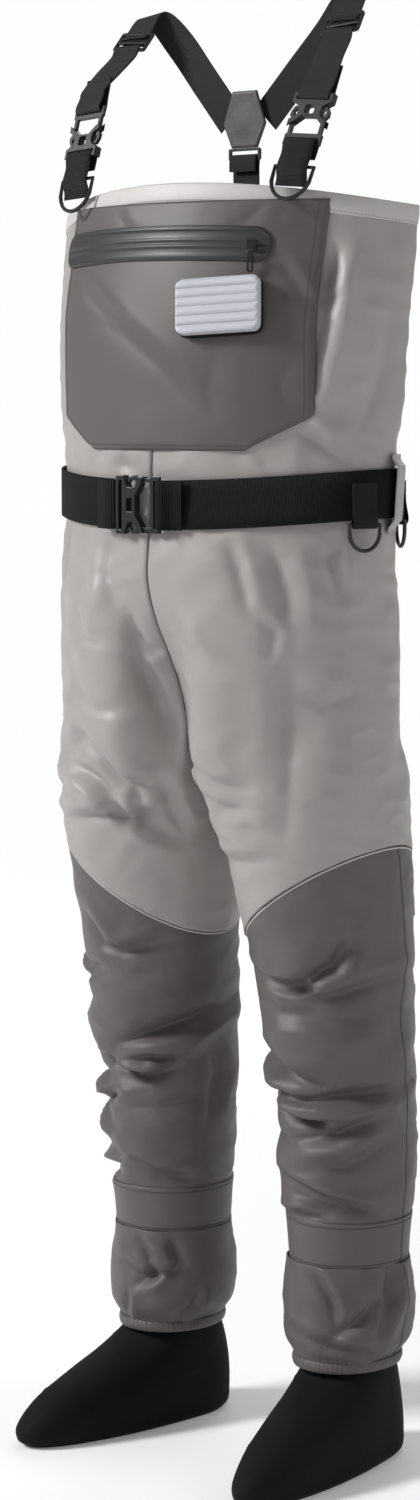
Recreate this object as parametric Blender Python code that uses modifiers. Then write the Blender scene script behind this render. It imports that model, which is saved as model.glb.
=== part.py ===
"""Stocking-foot chest waders as separate sewn, moulded and webbing pieces. Metres, +Z up, front towards -Y."""

import math

import bmesh
import bpy
from mathutils import Matrix, Vector

# Driving dimensions
HEM_BAND = 0.020
FABRIC = 0.0022
NEOPRENE = 0.005
SEAM_GAP = 0.0006
CROTCH_Z = 0.770
CROTCH_DIP = 0.018
BELT_Z = 0.992
BELT_SAG = 0.012
BELT_WIDTH = 0.050
BELT_THICK = 0.0024
STRAP_WIDTH = 0.038
STRAP_THICK = 0.0022
ANCHOR_X = 0.140
ANCHOR_TOP = 1.297
CHEST_RADIUS = 0.298
CHEST_SLOPE = 0.150
ZIP_Z = 1.240
ZIP_WIDTH = 0.034
ZIP_ENDS = (-31.0, 24.0)
SLIDER_ANGLE = 20.5
PATCH_SPOT = (0.080, 1.178)
RING_WIRE = 0.0021
BAND_TOP = 0.255
BAND_BOTTOM = 0.211
GUARD_HEM = 0.100
TOE_OUT = 8.0
ANKLE = (0.1195, 0.041)
ORIGIN_Y = 0.03323

# Body stations: height, half width, side y, front depth, back depth, side sharpness
BODY = (
    (1.310, 0.232, 0.000, 0.104, 0.020, 1.85),
    (1.180, 0.220, -0.004, 0.124, 0.045, 1.25),
    (1.080, 0.210, -0.008, 0.124, 0.070, 1.15),
    (0.990, 0.199, -0.012, 0.122, 0.092, 1.10),
    (0.880, 0.197, -0.015, 0.129, 0.120, 1.00),
    (0.770, 0.198, -0.010, 0.120, 0.114, 1.00),
)
# Leg stations: height, centre x, centre y, half width, half depth
LEG = (
    (0.770, 0.1000, -0.010, 0.0980, 0.114),
    (0.690, 0.1060, -0.008, 0.0945, 0.103),
    (0.600, 0.1120, 0.004, 0.0890, 0.093),
    (0.500, 0.1160, 0.018, 0.0780, 0.083),
    (0.400, 0.1190, 0.030, 0.0715, 0.076),
    (0.300, 0.1195, 0.037, 0.0665, 0.070),
    (0.211, 0.1195, 0.039, 0.0595, 0.062),
    (0.160, 0.1195, 0.040, 0.0605, 0.063),
    (0.100, 0.1195, 0.036, 0.0565, 0.065),
)
# Bootie stations: height, reach to the toe, reach to the heel, half width
FOOT = (
    (0.150, 0.046, 0.046, 0.042),
    (0.114, 0.050, 0.049, 0.043),
    (0.098, 0.055, 0.053, 0.045),
    (0.084, 0.082, 0.058, 0.047),
    (0.064, 0.138, 0.062, 0.049),
    (0.042, 0.188, 0.064, 0.051),
    (0.020, 0.214, 0.064, 0.052),
    (0.006, 0.214, 0.062, 0.052),
    (0.000, 0.206, 0.056, 0.047),
)
COLOURS = {
    "light": ((0.31, 0.30, 0.29), 0.62, 0.0),
    "dark": ((0.125, 0.117, 0.112), 0.66, 0.0),
    "neoprene": ((0.012, 0.011, 0.011), 0.85, 0.0),
    "webbing": ((0.018, 0.017, 0.018), 0.80, 0.0),
    "strap": ((0.030, 0.028, 0.029), 0.78, 0.0),
    "moulding": ((0.022, 0.022, 0.022), 0.38, 0.0),
    "coated": ((0.060, 0.057, 0.061), 0.30, 0.0),
    "foam": ((0.50, 0.51, 0.56), 0.70, 0.0),
}

PARTS = bpy.data.collections.new("chest_waders")
CUTTERS = bpy.data.collections.new("cutters")


def clear_scene():
    for obj in list(bpy.data.objects):
        bpy.data.objects.remove(obj, do_unlink=True)
    bpy.context.scene.collection.children.link(PARTS)
    bpy.context.scene.collection.children.link(CUTTERS)


def read_stations(stations, height):
    """The station values at a height, on a smooth curve through the rows."""
    rows = sorted(stations)
    height = min(max(height, rows[0][0]), rows[-1][0])
    place = max(i for i in range(len(rows) - 1) if rows[i][0] <= height or i == 0)
    low, high = rows[place], rows[place + 1]
    span = high[0] - low[0]
    share = (height - low[0]) / span
    before = rows[max(place - 1, 0)]
    after = rows[min(place + 2, len(rows) - 1)]
    values = []
    for k in range(1, len(low)):
        slope_low = (high[k] - before[k]) / (high[0] - before[0]) * span
        slope_high = (after[k] - low[k]) / (after[0] - low[0]) * span
        h00 = 2 * share**3 - 3 * share**2 + 1
        h10 = share**3 - 2 * share**2 + share
        h01 = 3 * share**2 - 2 * share**3
        h11 = share**3 - share**2
        values.append(h00 * low[k] + h10 * slope_low + h01 * high[k] + h11 * slope_high)
    return values


def body_point(turn, height, out=0.0):
    """A point on the body: turn is 0 at the front centre, 90 degrees at the side, 180 at the back."""
    half, side_y, front, back, sharp = read_stations(BODY, height)
    x = (half + out) * math.sin(turn)
    lean = math.copysign(abs(math.cos(turn)) ** sharp, math.cos(turn))
    depth = front + out if lean > 0 else back + out
    return Vector((x, side_y - depth * lean, height))


def turn_at(x, height):
    """The turn on the front where the body reaches x."""
    half = read_stations(BODY, height)[0]
    return math.asin(max(-1.0, min(1.0, x / half)))


def leg_point(side, turn, height, out=0.0):
    """A point on a leg: turn is 0 at the outer side, -90 degrees at the front, 90 at the back."""
    x, y, half, deep = read_stations(LEG, height)
    return Vector((side * (x + (half + out) * math.cos(turn)), y + (deep + out) * math.sin(turn), height))


def collar_top(turn):
    """Height of the collar's edge, lowest at the back."""
    front = 1.303 - 0.025 * math.sin(turn) ** 2
    back = 1.222 + 0.056 * math.sin(turn) ** 2
    return front if math.cos(turn) > 0 else back


def belt_height(turn):
    return BELT_Z + BELT_SAG * 0.5 - BELT_SAG * max(0.0, math.cos(turn)) ** 2


def finish_for(name):
    colour, rough, metal = COLOURS[name]
    material = bpy.data.materials.new(name)
    material.use_nodes = True
    shader = material.node_tree.nodes["Principled BSDF"]
    shader.inputs["Base Color"].default_value = (*colour, 1.0)
    shader.inputs["Roughness"].default_value = rough
    shader.inputs["Metallic"].default_value = metal
    return material


def add_object(name, mesh, finish, place=None, collection=None):
    obj = bpy.data.objects.new(name, mesh)
    mesh.materials.append(finish_for(finish))
    (collection or PARTS).objects.link(obj)
    if place is not None:
        obj.matrix_world = place
    return obj


def add_shell(name, rows, finish, thick, outward, ring=False):
    """A sheet through rows of points, thickened outwards or inwards by Solidify."""
    shape = bmesh.new()
    grid = [[shape.verts.new(point) for point in row] for row in rows]
    for upper, lower in zip(grid, grid[1:]):
        count = len(upper)
        for i in range(count if ring else count - 1):
            j = (i + 1) % count
            shape.faces.new((upper[i], upper[j], lower[j], lower[i]))
    return shell_from(name, shape, finish, thick, outward)


def shell_from(name, shape, finish, thick, outward):
    """Orients a sheet away from the part's middle line and thickens it."""
    bmesh.ops.recalc_face_normals(shape, faces=shape.faces)
    middle = sum((v.co for v in shape.verts), Vector()) / len(shape.verts)
    closed_up = sum(f.normal.dot(f.calc_center_median() - middle) * f.calc_area() for f in shape.faces)
    if closed_up < 0:
        bmesh.ops.reverse_faces(shape, faces=shape.faces)
    mesh = bpy.data.meshes.new(name)
    shape.to_mesh(mesh)
    shape.free()
    obj = add_object(name, mesh, finish)
    solidify = obj.modifiers.new("thickness", "SOLIDIFY")
    solidify.thickness = thick
    solidify.offset = 1.0 if outward else -1.0
    return obj


def face_front(obj):
    """Turns a sheet's faces so that they look towards -Y."""
    if sum(p.normal.y * p.area for p in obj.data.polygons) > 0:
        obj.data.flip_normals()


def spread(low, high, count):
    return [low + (high - low) * i / (count - 1) for i in range(count)]


def make_upper(side, name):
    """One half of the body with its thigh, from the hem down to the slanted knee seam."""
    outer = spread(0.0, math.pi, 19)
    inner = 7
    shape = bmesh.new()
    rows = []
    for step in spread(0.0, 1.0, 11):
        row = []
        for turn in outer:
            top = collar_top(turn) - HEM_BAND - 3 * SEAM_GAP
            z = top + (CROTCH_Z - top) * step
            point = body_point(turn, z)
            point.x = side * max(point.x, SEAM_GAP * 0.5)
            row.append(shape.verts.new(point))
        rows.append(row)
    for upper, lower in zip(rows, rows[1:]):
        for i in range(len(outer) - 1):
            shape.faces.new((upper[i], upper[i + 1], lower[i + 1], lower[i]))
    back, front = body_point(math.pi, CROTCH_Z), body_point(0.0, CROTCH_Z)
    start = list(rows[-1])
    for i in range(1, inner):
        share = i / inner
        y = back.y + (front.y - back.y) * share
        z = CROTCH_Z - CROTCH_DIP * math.sin(math.pi * share)
        start.append(shape.verts.new(Vector((side * SEAM_GAP * 0.5, y, z))))
    ring = [vert.co.copy() for vert in start]
    angles = [(turn - math.pi / 2) * 1.62 for turn in outer]
    gap = (2 * math.pi - (angles[-1] - angles[0])) / inner
    angles += [angles[-1] + gap * i for i in range(1, inner)]
    above = start
    for step in spread(0.0, 1.0, 7)[1:]:
        row = []
        for first, angle in zip(ring, angles):
            seam = knee_seam(angle) + SEAM_GAP
            z = first.z + (seam - first.z) * step
            target = leg_point(side, angle, z)
            ease = min(1.0, step * 1.9)
            ease = ease * ease * (3 - 2 * ease)
            point = Vector((first.x, first.y, z)).lerp(target, ease)
            point.x = side * max(side * point.x, SEAM_GAP * 0.5 + 0.004 * min(1.0, step * 6))
            row.append(shape.verts.new(point))
        count = len(row)
        for i in range(count):
            j = (i + 1) % count
            shape.faces.new((above[i], above[j], row[j], row[i]))
        above = row
    return shell_from(name, shape, "light", FABRIC, False)


def knee_seam(angle):
    """Height of the seam above the shin panel: high outside, low inside."""
    return 0.592 + 0.056 * math.cos(angle)


def make_tube(name, side, top, bottom, rows, finish, thick, out=0.0, outward=False, count=22):
    """A fabric tube round a leg between two edges, each a function of the angle."""
    angles = [2 * math.pi * i / count for i in range(count)]
    levels = []
    for step in spread(0.0, 1.0, rows):
        levels.append([leg_point(side, a, top(a) + (bottom(a) - top(a)) * step, out) for a in angles])
    return add_shell(name, levels, finish, thick, outward, ring=True)


def make_legs():
    for side, word in ((1, "left"), (-1, "right")):
        make_upper(side, f"upper_{word}_panel")
        make_tube(f"shin_{word}_panel", side, lambda a: knee_seam(a) - SEAM_GAP,
                  lambda a: BAND_TOP + SEAM_GAP, 8, "dark", FABRIC)
        make_tube(f"calf_{word}_band", side, lambda a: BAND_TOP - SEAM_GAP,
                  lambda a: BAND_BOTTOM + SEAM_GAP, 3, "dark", FABRIC, 0.0)
        make_tube(f"guard_{word}", side, lambda a: BAND_BOTTOM - SEAM_GAP,
                  lambda a: GUARD_HEM + 0.010, 5, "dark", 0.0016, 0.002)
        make_tube(f"guard_{word}_hem", side, lambda a: GUARD_HEM + 0.010 - SEAM_GAP,
                  lambda a: GUARD_HEM, 2, "dark", 0.0024, 0.0010)
        make_bootie(side, f"bootie_{word}")


def foot_outline(reach, heel, half, count=26):
    """Points round a foot seen from above, toe towards -Y, blunt at the toe and round at the heel."""
    points = []
    for i in range(count):
        turn = 2 * math.pi * i / count
        x = half * math.copysign(abs(math.cos(turn)) ** 0.86, math.cos(turn))
        y = -reach * math.sin(turn) if math.sin(turn) > 0 else -heel * math.sin(turn)
        widen = 1.0 + 0.06 * math.sin(math.pi * min(1.0, max(0.0, -y / max(reach, 0.001))))
        points.append(Vector((x * widen, y, 0.0)))
    return points


def make_bootie(side, name):
    """A hollow neoprene sock foot with a flat sole, open at the ankle."""
    spin = Matrix.Rotation(math.radians(TOE_OUT * side), 4, "Z")
    centre = Vector((side * ANKLE[0], ANKLE[1], 0.0))
    shape = bmesh.new()
    grid = []
    for z, reach, heel, half in FOOT:
        row = []
        for point in foot_outline(reach, heel, half):
            place = spin @ point + centre
            row.append(shape.verts.new(Vector((place.x, place.y, z))))
        grid.append(row)
    for upper, lower in zip(grid, grid[1:]):
        for i in range(len(upper)):
            j = (i + 1) % len(upper)
            shape.faces.new((upper[i], upper[j], lower[j], lower[i]))
    shape.faces.new(grid[-1])
    return shell_from(name, shape, "neoprene", NEOPRENE, False)


def make_collar():
    turns = [2 * math.pi * i / 36 for i in range(36)]
    top = [body_point(t, collar_top(t)) for t in turns]
    bottom = [body_point(t, collar_top(t) - HEM_BAND) for t in turns]
    return add_shell("collar_hem", [top, bottom], "light", FABRIC, False, ring=True)


def make_pocket():
    """The chest pocket panel with its lower corners cut off."""
    heights = (1.2815, 1.25, 1.22, 1.19, 1.16, 1.13, 1.10, 1.072, 1.040)
    halves = (0.157, 0.1565, 0.156, 0.155, 0.154, 0.152, 0.150, 0.148, 0.086)
    rows = []
    for z, half in zip(heights, halves):
        rows.append([body_point(turn_at(x, z), z, 0.0034) for x in spread(-half, half, 21)])
    obj = add_shell("chest_pocket", rows, "dark", 0.0016, True)
    face_front(obj)


def chest_place(angle, height, out):
    """A frame on the chest arc: local +X along the arc, +Y into the body, +Z up."""
    turn = math.radians(angle)
    radius = CHEST_RADIUS + out + (ZIP_Z - height) * CHEST_SLOPE
    centre_y = -read_stations(BODY, ZIP_Z)[2] + read_stations(BODY, ZIP_Z)[1] + CHEST_RADIUS
    spot = Vector((radius * math.sin(turn), centre_y - radius * math.cos(turn), height))
    return Matrix.Translation(spot) @ Matrix.Rotation(turn, 4, "Z")


def front_frame(x, height):
    """A frame on the front of the body: local +X across, +Y into the body, +Z up the fabric."""
    spot = body_point(turn_at(x, height), height)
    across = (body_point(turn_at(x + 0.01, height), height) - spot).normalized()
    up = (body_point(turn_at(x, height + 0.01), height + 0.01) - spot).normalized()
    inward = up.cross(across).normalized()
    frame = Matrix((across, inward, across.cross(inward))).transposed().to_4x4()
    return Matrix.Translation(spot) @ frame


def make_chest_arc(name, angles, low, high, out, thick, finish):
    rows = [[chest_place(a, z, out).translation for a in angles] for z in (high, low)]
    obj = add_shell(name, rows, finish, thick, True)
    face_front(obj)


def box_mesh(name, size, bevel=0.0):
    """A box centred at its origin, with rounded edges where asked."""
    shape = bmesh.new()
    bmesh.ops.create_cube(shape, size=1.0)
    bmesh.ops.scale(shape, vec=Vector(size), verts=shape.verts)
    if bevel:
        bmesh.ops.bevel(shape, geom=shape.edges[:], offset=bevel, segments=2, profile=0.5, affect="EDGES")
    mesh = bpy.data.meshes.new(name)
    shape.to_mesh(mesh)
    shape.free()
    return mesh


def curve_outline(name, loops, thick, place, finish, bevel=0.0):
    """A plate cut from flat outlines: the first is its edge and the others are holes."""
    curve = bpy.data.curves.new(name, "CURVE")
    curve.dimensions = "2D"
    curve.fill_mode = "BOTH"
    curve.extrude = thick / 2 - bevel
    curve.bevel_depth = bevel
    curve.bevel_resolution = 1
    curve.offset = -bevel
    for loop in loops:
        spline = curve.splines.new("POLY")
        spline.points.add(len(loop) - 1)
        for point, (x, y) in zip(spline.points, loop):
            point.co = (x, y, 0.0, 1.0)
        spline.use_cyclic_u = True
    guide = bpy.data.objects.new(name + "_outline", curve)
    PARTS.objects.link(guide)
    bpy.context.view_layer.update()
    graph = bpy.context.evaluated_depsgraph_get()
    mesh = bpy.data.meshes.new_from_object(guide.evaluated_get(graph))
    bpy.data.objects.remove(guide, do_unlink=True)
    shape = bmesh.new()
    shape.from_mesh(mesh)
    bmesh.ops.remove_doubles(shape, verts=shape.verts, dist=0.00002)
    bmesh.ops.recalc_face_normals(shape, faces=shape.faces)
    shape.to_mesh(mesh)
    shape.free()
    return add_object(name, mesh, finish, place)


def rounded(x0, y0, x1, y1, radius, steps=4):
    """A rectangle's outline with round corners."""
    points = []
    corners = ((x1 - radius, y0 + radius, -90), (x1 - radius, y1 - radius, 0),
               (x0 + radius, y1 - radius, 90), (x0 + radius, y0 + radius, 180))
    for cx, cy, start in corners:
        for i in range(steps + 1):
            angle = math.radians(start + 90 * i / steps)
            points.append((cx + radius * math.cos(angle), cy + radius * math.sin(angle)))
    return points


def buckle_female(name, half, place):
    """The socket half: local +Y points away from the mouth, which is at y = 0."""
    reach = 0.036
    waist = half * 0.60
    edge = [(half * 0.72, 0.004), (half, 0.0)]
    edge += [(half, 0.007), (waist + 0.001, 0.011), (waist, 0.016), (waist + 0.001, 0.021)]
    edge += [(half + 0.001, 0.026), (half + 0.001, reach), (0.0, reach + 0.0005)]
    outline = edge + [(-x, y) for x, y in reversed(edge[:-1])] + [(-half * 0.34, 0.011), (half * 0.34, 0.011)]
    window = rounded(-half * 0.24, 0.0135, half * 0.24, 0.0225, 0.0015, 2)
    slot = rounded(-half * 0.88, 0.0285, half * 0.88, 0.0325, 0.001, 2)
    obj = curve_outline(name, [outline, window, slot], 0.0085, place, "moulding", 0.0006)
    for sign in (-1, 1):
        cutter = bpy.data.objects.new(f"{name}_socket", box_mesh("socket", (0.0095, 0.030, 0.0052)))
        CUTTERS.objects.link(cutter)
        cutter.matrix_world = place @ Matrix.Translation((sign * (half - 0.0024), 0.0010, 0.0))
        cutter.hide_render = True
        cutter.display_type = "WIRE"
        cut = obj.modifiers.new("socket", "BOOLEAN")
        cut.operation = "DIFFERENCE"
        cut.object = cutter
    return obj


def buckle_male(name, half, place):
    """The plug half: a webbing frame below the mouth with two press arms that run into the socket."""
    arm_in, arm_out = half - 0.0058, half - 0.0018
    top, bottom = -0.0080, -0.0190
    right = [(half, bottom), (half, top), (arm_out, top + 0.001), (arm_out, 0.0085)]
    right += [(half + 0.0012, 0.0120), (half + 0.0006, 0.0170), (arm_out - 0.001, 0.0225)]
    right += [(arm_in - 0.001, 0.0215), (half - 0.0028, 0.0160), (arm_in, 0.0100), (arm_in, top + 0.0012)]
    outline = right + [(-x, y) for x, y in reversed(right)]
    slot = rounded(-half * 0.86, -0.0160, half * 0.86, -0.0115, 0.001, 2)
    return curve_outline(name, [outline, slot], 0.0038, place, "moulding", 0.0004)


def strap_frame(spot, along, facing):
    """Local +Y along the strap, +Z out of its face."""
    y = along.normalized()
    z = (facing - facing.dot(y) * y).normalized()
    x = y.cross(z)
    frame = Matrix((x, y, z)).transposed().to_4x4()
    return Matrix.Translation(spot) @ frame


def smooth_path(points, count):
    """Points on a smooth curve through the given ones."""
    result = []
    last = len(points) - 1
    for i in range(count):
        place = last * i / (count - 1)
        k = min(int(place), last - 1)
        s = place - k
        p0, p1 = points[max(k - 1, 0)], points[k]
        p2, p3 = points[k + 1], points[min(k + 2, last)]
        m1, m2 = (p2 - p0) / 2, (p3 - p1) / 2
        result.append(p1 * (2 * s**3 - 3 * s**2 + 1) + m1 * (s**3 - 2 * s**2 + s)
                      + p2 * (3 * s**2 - 2 * s**3) + m2 * (s**3 - s**2))
    return result


def make_ribbon(name, points, sides, width, thick, finish, count=12):
    """Webbing along a path. Each point has the direction that the width runs in."""
    path = smooth_path(points, count)
    across = smooth_path(sides, count)
    rows = [[p - a.normalized() * width / 2, p + a.normalized() * width / 2] for p, a in zip(path, across)]
    shape = bmesh.new()
    grid = [[shape.verts.new(point) for point in row] for row in rows]
    for upper, lower in zip(grid, grid[1:]):
        shape.faces.new((upper[0], upper[1], lower[1], lower[0]))
    mesh = bpy.data.meshes.new(name)
    shape.to_mesh(mesh)
    shape.free()
    obj = add_object(name, mesh, finish)
    solidify = obj.modifiers.new("thickness", "SOLIDIFY")
    solidify.thickness = thick
    solidify.offset = 0.0
    return obj


def ring_mesh(name, half, drop, wire, finish, place):
    """A D-ring: a straight bar along local X at the origin and a bow that hangs below it."""
    points = [(-half, 0.0), (0.0, 0.0), (half, 0.0)]
    for i in range(1, 12):
        angle = math.pi * i / 12
        points.append((half * math.cos(angle) * 1.0, -drop * 0.28 - drop * 0.72 * math.sin(angle)))
    curve = bpy.data.curves.new(name, "CURVE")
    curve.dimensions = "3D"
    curve.bevel_depth = wire
    curve.bevel_resolution = 1
    spline = curve.splines.new("POLY")
    spline.points.add(len(points) - 1)
    for point, (x, y) in zip(spline.points, points):
        point.co = (x, 0.0, y, 1.0)
    spline.use_cyclic_u = True
    obj = bpy.data.objects.new(name, curve)
    PARTS.objects.link(obj)
    obj.matrix_world = place
    curve.materials.append(finish_for(finish))
    return obj


def make_tab(name, width, length, place, tail=0.0):
    """A webbing tab folded round a bar: local X is the bar's axis and +Z runs up the tab."""
    hole, skin = RING_WIRE + 0.0009, 0.0014
    outer = hole + skin
    outline = []
    for i in range(9):
        angle = math.radians(180 + 140 * i / 8)
        outline.append((outer * math.cos(angle), outer * math.sin(angle)))
    if tail:
        outline += [(outer - skin, -tail), (outer, -tail)]
    outline += [(outer, 0.001), (0.0016, outer + 0.004), (0.0016, length)]
    outline += [(-0.0016, length), (-0.0016, outer + 0.004), (-outer, 0.001)]
    inner = []
    for i in range(12):
        angle = 2 * math.pi * i / 12
        inner.append((hole * math.cos(angle), hole * math.sin(angle)))
    turned = place @ Matrix.Rotation(math.pi / 2, 4, "Z") @ Matrix.Rotation(math.pi / 2, 4, "X")
    return curve_outline(name, [outline, inner], width, turned, "webbing")


def shoulder(side):
    """Hand-placed stations of one shoulder strap, from the collar to the back patch."""
    lower = Vector((side * ANCHOR_X, -0.0905, ANCHOR_TOP))
    mouth = Vector((side * 0.1425, -0.0670, 1.352 if side > 0 else 1.369))
    crest = Vector((side * 0.1360, 0.0010, 1.462))
    return lower, mouth, crest


def make_straps():
    for side, word in ((1, "left"), (-1, "right")):
        lower, mouth, crest = shoulder(side)
        rise = (mouth - lower).normalized()
        facing = Vector((side * 0.10, -1.0, 0.22))
        seat = strap_frame(mouth, rise, facing)
        flip = seat @ Matrix.Rotation(math.pi, 4, "Z")
        half = STRAP_WIDTH / 2 + 0.0025
        if side > 0:
            buckle_female(f"strap_{word}_buckle_female", half, seat)
            buckle_male(f"strap_{word}_buckle_male", half, seat)
            low_end, high_end = -0.0195, 0.0370
        else:
            buckle_female(f"strap_{word}_buckle_female", half, flip)
            buckle_male(f"strap_{word}_buckle_male", half, flip)
            low_end, high_end = -0.0370, 0.0195
        across = seat.to_3x3() @ Vector((1, 0, 0))
        tab_top = seat @ Vector((0, low_end, 0))
        ring_centre = tab_top - rise * 0.022
        hold = strap_frame(ring_centre, rise, facing)
        upright = Matrix((hold.col[0].xyz, -hold.col[2].xyz, hold.col[1].xyz)).transposed().to_4x4()
        upright = Matrix.Translation(ring_centre) @ upright
        make_tab(f"strap_{word}_tab", STRAP_WIDTH, 0.0215, upright, 0.017)
        ring_mesh(f"strap_{word}_d_ring", STRAP_WIDTH / 2 + 0.0036, 0.034, RING_WIRE, "moulding", upright)
        start = seat @ Vector((0, high_end + 0.0003, 0))
        make_front_strap(side, word, start, rise, across, crest)


def make_front_strap(side, word, start, rise, across, crest):
    """The strap from the buckle to the slider, then over the shoulder to the back patch."""
    approach = (crest - start).normalized()
    slider_spot = crest - approach * 0.006
    wide = Vector((1.0, 0.05 * side, 0.0))
    middle = start.lerp(crest, 0.5) + Vector((0, -0.006, 0))
    stop = slider_spot - approach * 0.0145
    make_ribbon(f"strap_{word}_front", [start, middle, stop], [across, wide, wide],
                STRAP_WIDTH, STRAP_THICK, "strap", 9)
    facing = approach.cross(Vector((1, 0, 0)))
    facing = facing if facing.y < 0 else -facing
    place = strap_frame(slider_spot, approach, facing)
    half = STRAP_WIDTH / 2 + 0.0035
    outline = rounded(-half, -0.0125, half, 0.0125, 0.003, 3)
    slots = [rounded(-half + 0.003, -0.0095, half - 0.003, -0.0030, 0.001, 2),
             rounded(-half + 0.003, 0.0030, half - 0.003, 0.0095, 0.001, 2)]
    curve_outline(f"strap_{word}_slider", [outline, *slots], 0.0030, place, "moulding", 0.0004)
    begin = slider_spot + approach * 0.0152
    over = Vector((side * 0.128, 0.020, 1.4855))
    fall = Vector((side * 0.098, 0.026, 1.455))
    finish_at = Vector((side * 0.0345, 0.0165, 1.3835))
    diagonal = Vector((0.72, 0.0, -side * 0.69))
    sides = [wide, Vector((0.97, 0.1 * side, -0.15 * side)), Vector((0.80, 0.0, -0.58 * side)), diagonal]
    make_ribbon(f"strap_{word}_back", [begin, over, fall, finish_at], sides,
                STRAP_WIDTH, STRAP_THICK, "strap", 15)


def make_back():
    """The leather-like back patch with its loop and the strap down to the back hem."""
    place = Matrix.Translation((0, 0.0125, 1.372)) @ Matrix.Rotation(math.pi / 2, 4, "X")
    outline = [(-0.0155, 0.0290), (0.0155, 0.0290), (0.0275, -0.0040), (0.0165, -0.0280),
               (-0.0165, -0.0280), (-0.0275, -0.0040)]
    curve_outline("back_patch", [outline], 0.0030, place, "strap", 0.0006)
    loop = Matrix.Translation((0, 0.0125, 1.3375)) @ Matrix.Rotation(math.pi / 2, 4, "X")
    frame = rounded(-0.0205, -0.0062, 0.0205, 0.0062, 0.0022, 3)
    hole = rounded(-0.0175, -0.0034, 0.0175, 0.0034, 0.001, 2)
    curve_outline("back_slider", [frame, hole], 0.0032, loop, "moulding", 0.0004)
    x_axis = Vector((1, 0, 0))
    route = [Vector((0, 0.0125, 1.3308)), Vector((0, 0.0155, 1.290)), Vector((0, 0.0250, 1.235)),
             Vector((0, 0.0300, 1.196))]
    make_ribbon("back_strap", route, [x_axis] * 4, STRAP_WIDTH, STRAP_THICK, "strap", 10)


def make_belt():
    """Belt webbing round the waist, open at the front for its buckle."""
    open_left, open_right = math.radians(10.0), math.radians(-9.5)
    count = 44
    high, low = [], []
    for i in range(count):
        turn = open_left + (2 * math.pi + open_right - open_left) * i / (count - 1)
        level = belt_height(turn)
        high.append(body_point(turn, level + BELT_WIDTH / 2, 0.0030))
        low.append(body_point(turn, level - BELT_WIDTH / 2, 0.0030))
    add_shell("belt_webbing", [high, low], "webbing", BELT_THICK, True)
    level = belt_height(0.0)
    front = body_point(0.0, level, 0.0)
    half = BELT_WIDTH / 2 + 0.003
    seat = Matrix.Translation((0.0, front.y - 0.0112, level)) @ Matrix.Rotation(math.pi / 2, 4, "X")
    seat = seat @ Matrix.Rotation(math.pi / 2, 4, "Z") @ Matrix.Translation((0, -0.003, 0))
    buckle_female("belt_buckle_female", half, seat)
    buckle_male("belt_buckle_male", half, seat)


def make_belt_loops():
    """Fabric loops that carry the belt at both sides and the back."""
    for name, degrees, width in (("belt_loop_left", 100.0, 0.034), ("belt_loop_right", -100.0, 0.034),
                                 ("belt_loop_back", 180.0, 0.034)):
        turn = math.radians(degrees)
        level = belt_height(turn)
        reach = 0.036
        spot = body_point(turn, level, 0.0)
        ahead = body_point(turn + 0.02, level, 0.0) - body_point(turn - 0.02, level, 0.0)
        tangent = Vector((ahead.x, ahead.y, 0.0)).normalized()
        normal = Vector((tangent.y, -tangent.x, 0.0))
        if normal.dot(Vector((spot.x, spot.y, 0.0))) < 0:
            normal = -normal
        profile = [(0.0022, reach), (0.0085, BELT_WIDTH / 2 + 0.002), (0.0085, -BELT_WIDTH / 2 - 0.002),
                   (0.0022, -reach)]
        rows = []
        for out, rise in profile:
            base = body_point(turn, level + rise, 0.0)
            anchor = Vector((base.x, base.y, level + rise))
            centre = anchor + normal * out
            rows.append([centre - tangent * width / 2, centre + tangent * width / 2])
        shape = bmesh.new()
        grid = [[shape.verts.new(point) for point in row] for row in rows]
        for upper, lower in zip(grid, grid[1:]):
            shape.faces.new((upper[0], upper[1], lower[1], lower[0]))
        mesh = bpy.data.meshes.new(name)
        shape.to_mesh(mesh)
        shape.free()
        obj = add_object(name, mesh, "light")
        if sum((p.normal.dot(normal) for p in mesh.polygons)) < 0:
            mesh.flip_normals()
        solidify = obj.modifiers.new("thickness", "SOLIDIFY")
        solidify.thickness = 0.0014
        solidify.offset = 1.0


def belt_station(degrees, out):
    """Upright frame on the belt: local X along the belt, +Y into the body, +Z up."""
    turn = math.radians(degrees)
    level = belt_height(turn)
    spot = body_point(turn, level, out)
    ahead = body_point(turn + 0.02, level, out) - body_point(turn - 0.02, level, out)
    tangent = Vector((ahead.x, ahead.y, 0.0)).normalized()
    inward = Vector((0, 0, 1)).cross(tangent)
    frame = Matrix((tangent, inward, Vector((0, 0, 1)))).transposed().to_4x4()
    return Matrix.Translation(spot) @ frame


def make_belt_rings():
    for name, degrees, width in (("hip", 72.0, 0.026), ("rear", 122.0, 0.026)):
        place = belt_station(degrees, 0.0125) @ Matrix.Translation((0, 0, -0.028))
        make_tab(f"{name}_ring_tab", width, 0.042, place)
        ring_mesh(f"{name}_d_ring", width / 2 + 0.0034, 0.026, RING_WIRE, "moulding", place)


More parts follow.
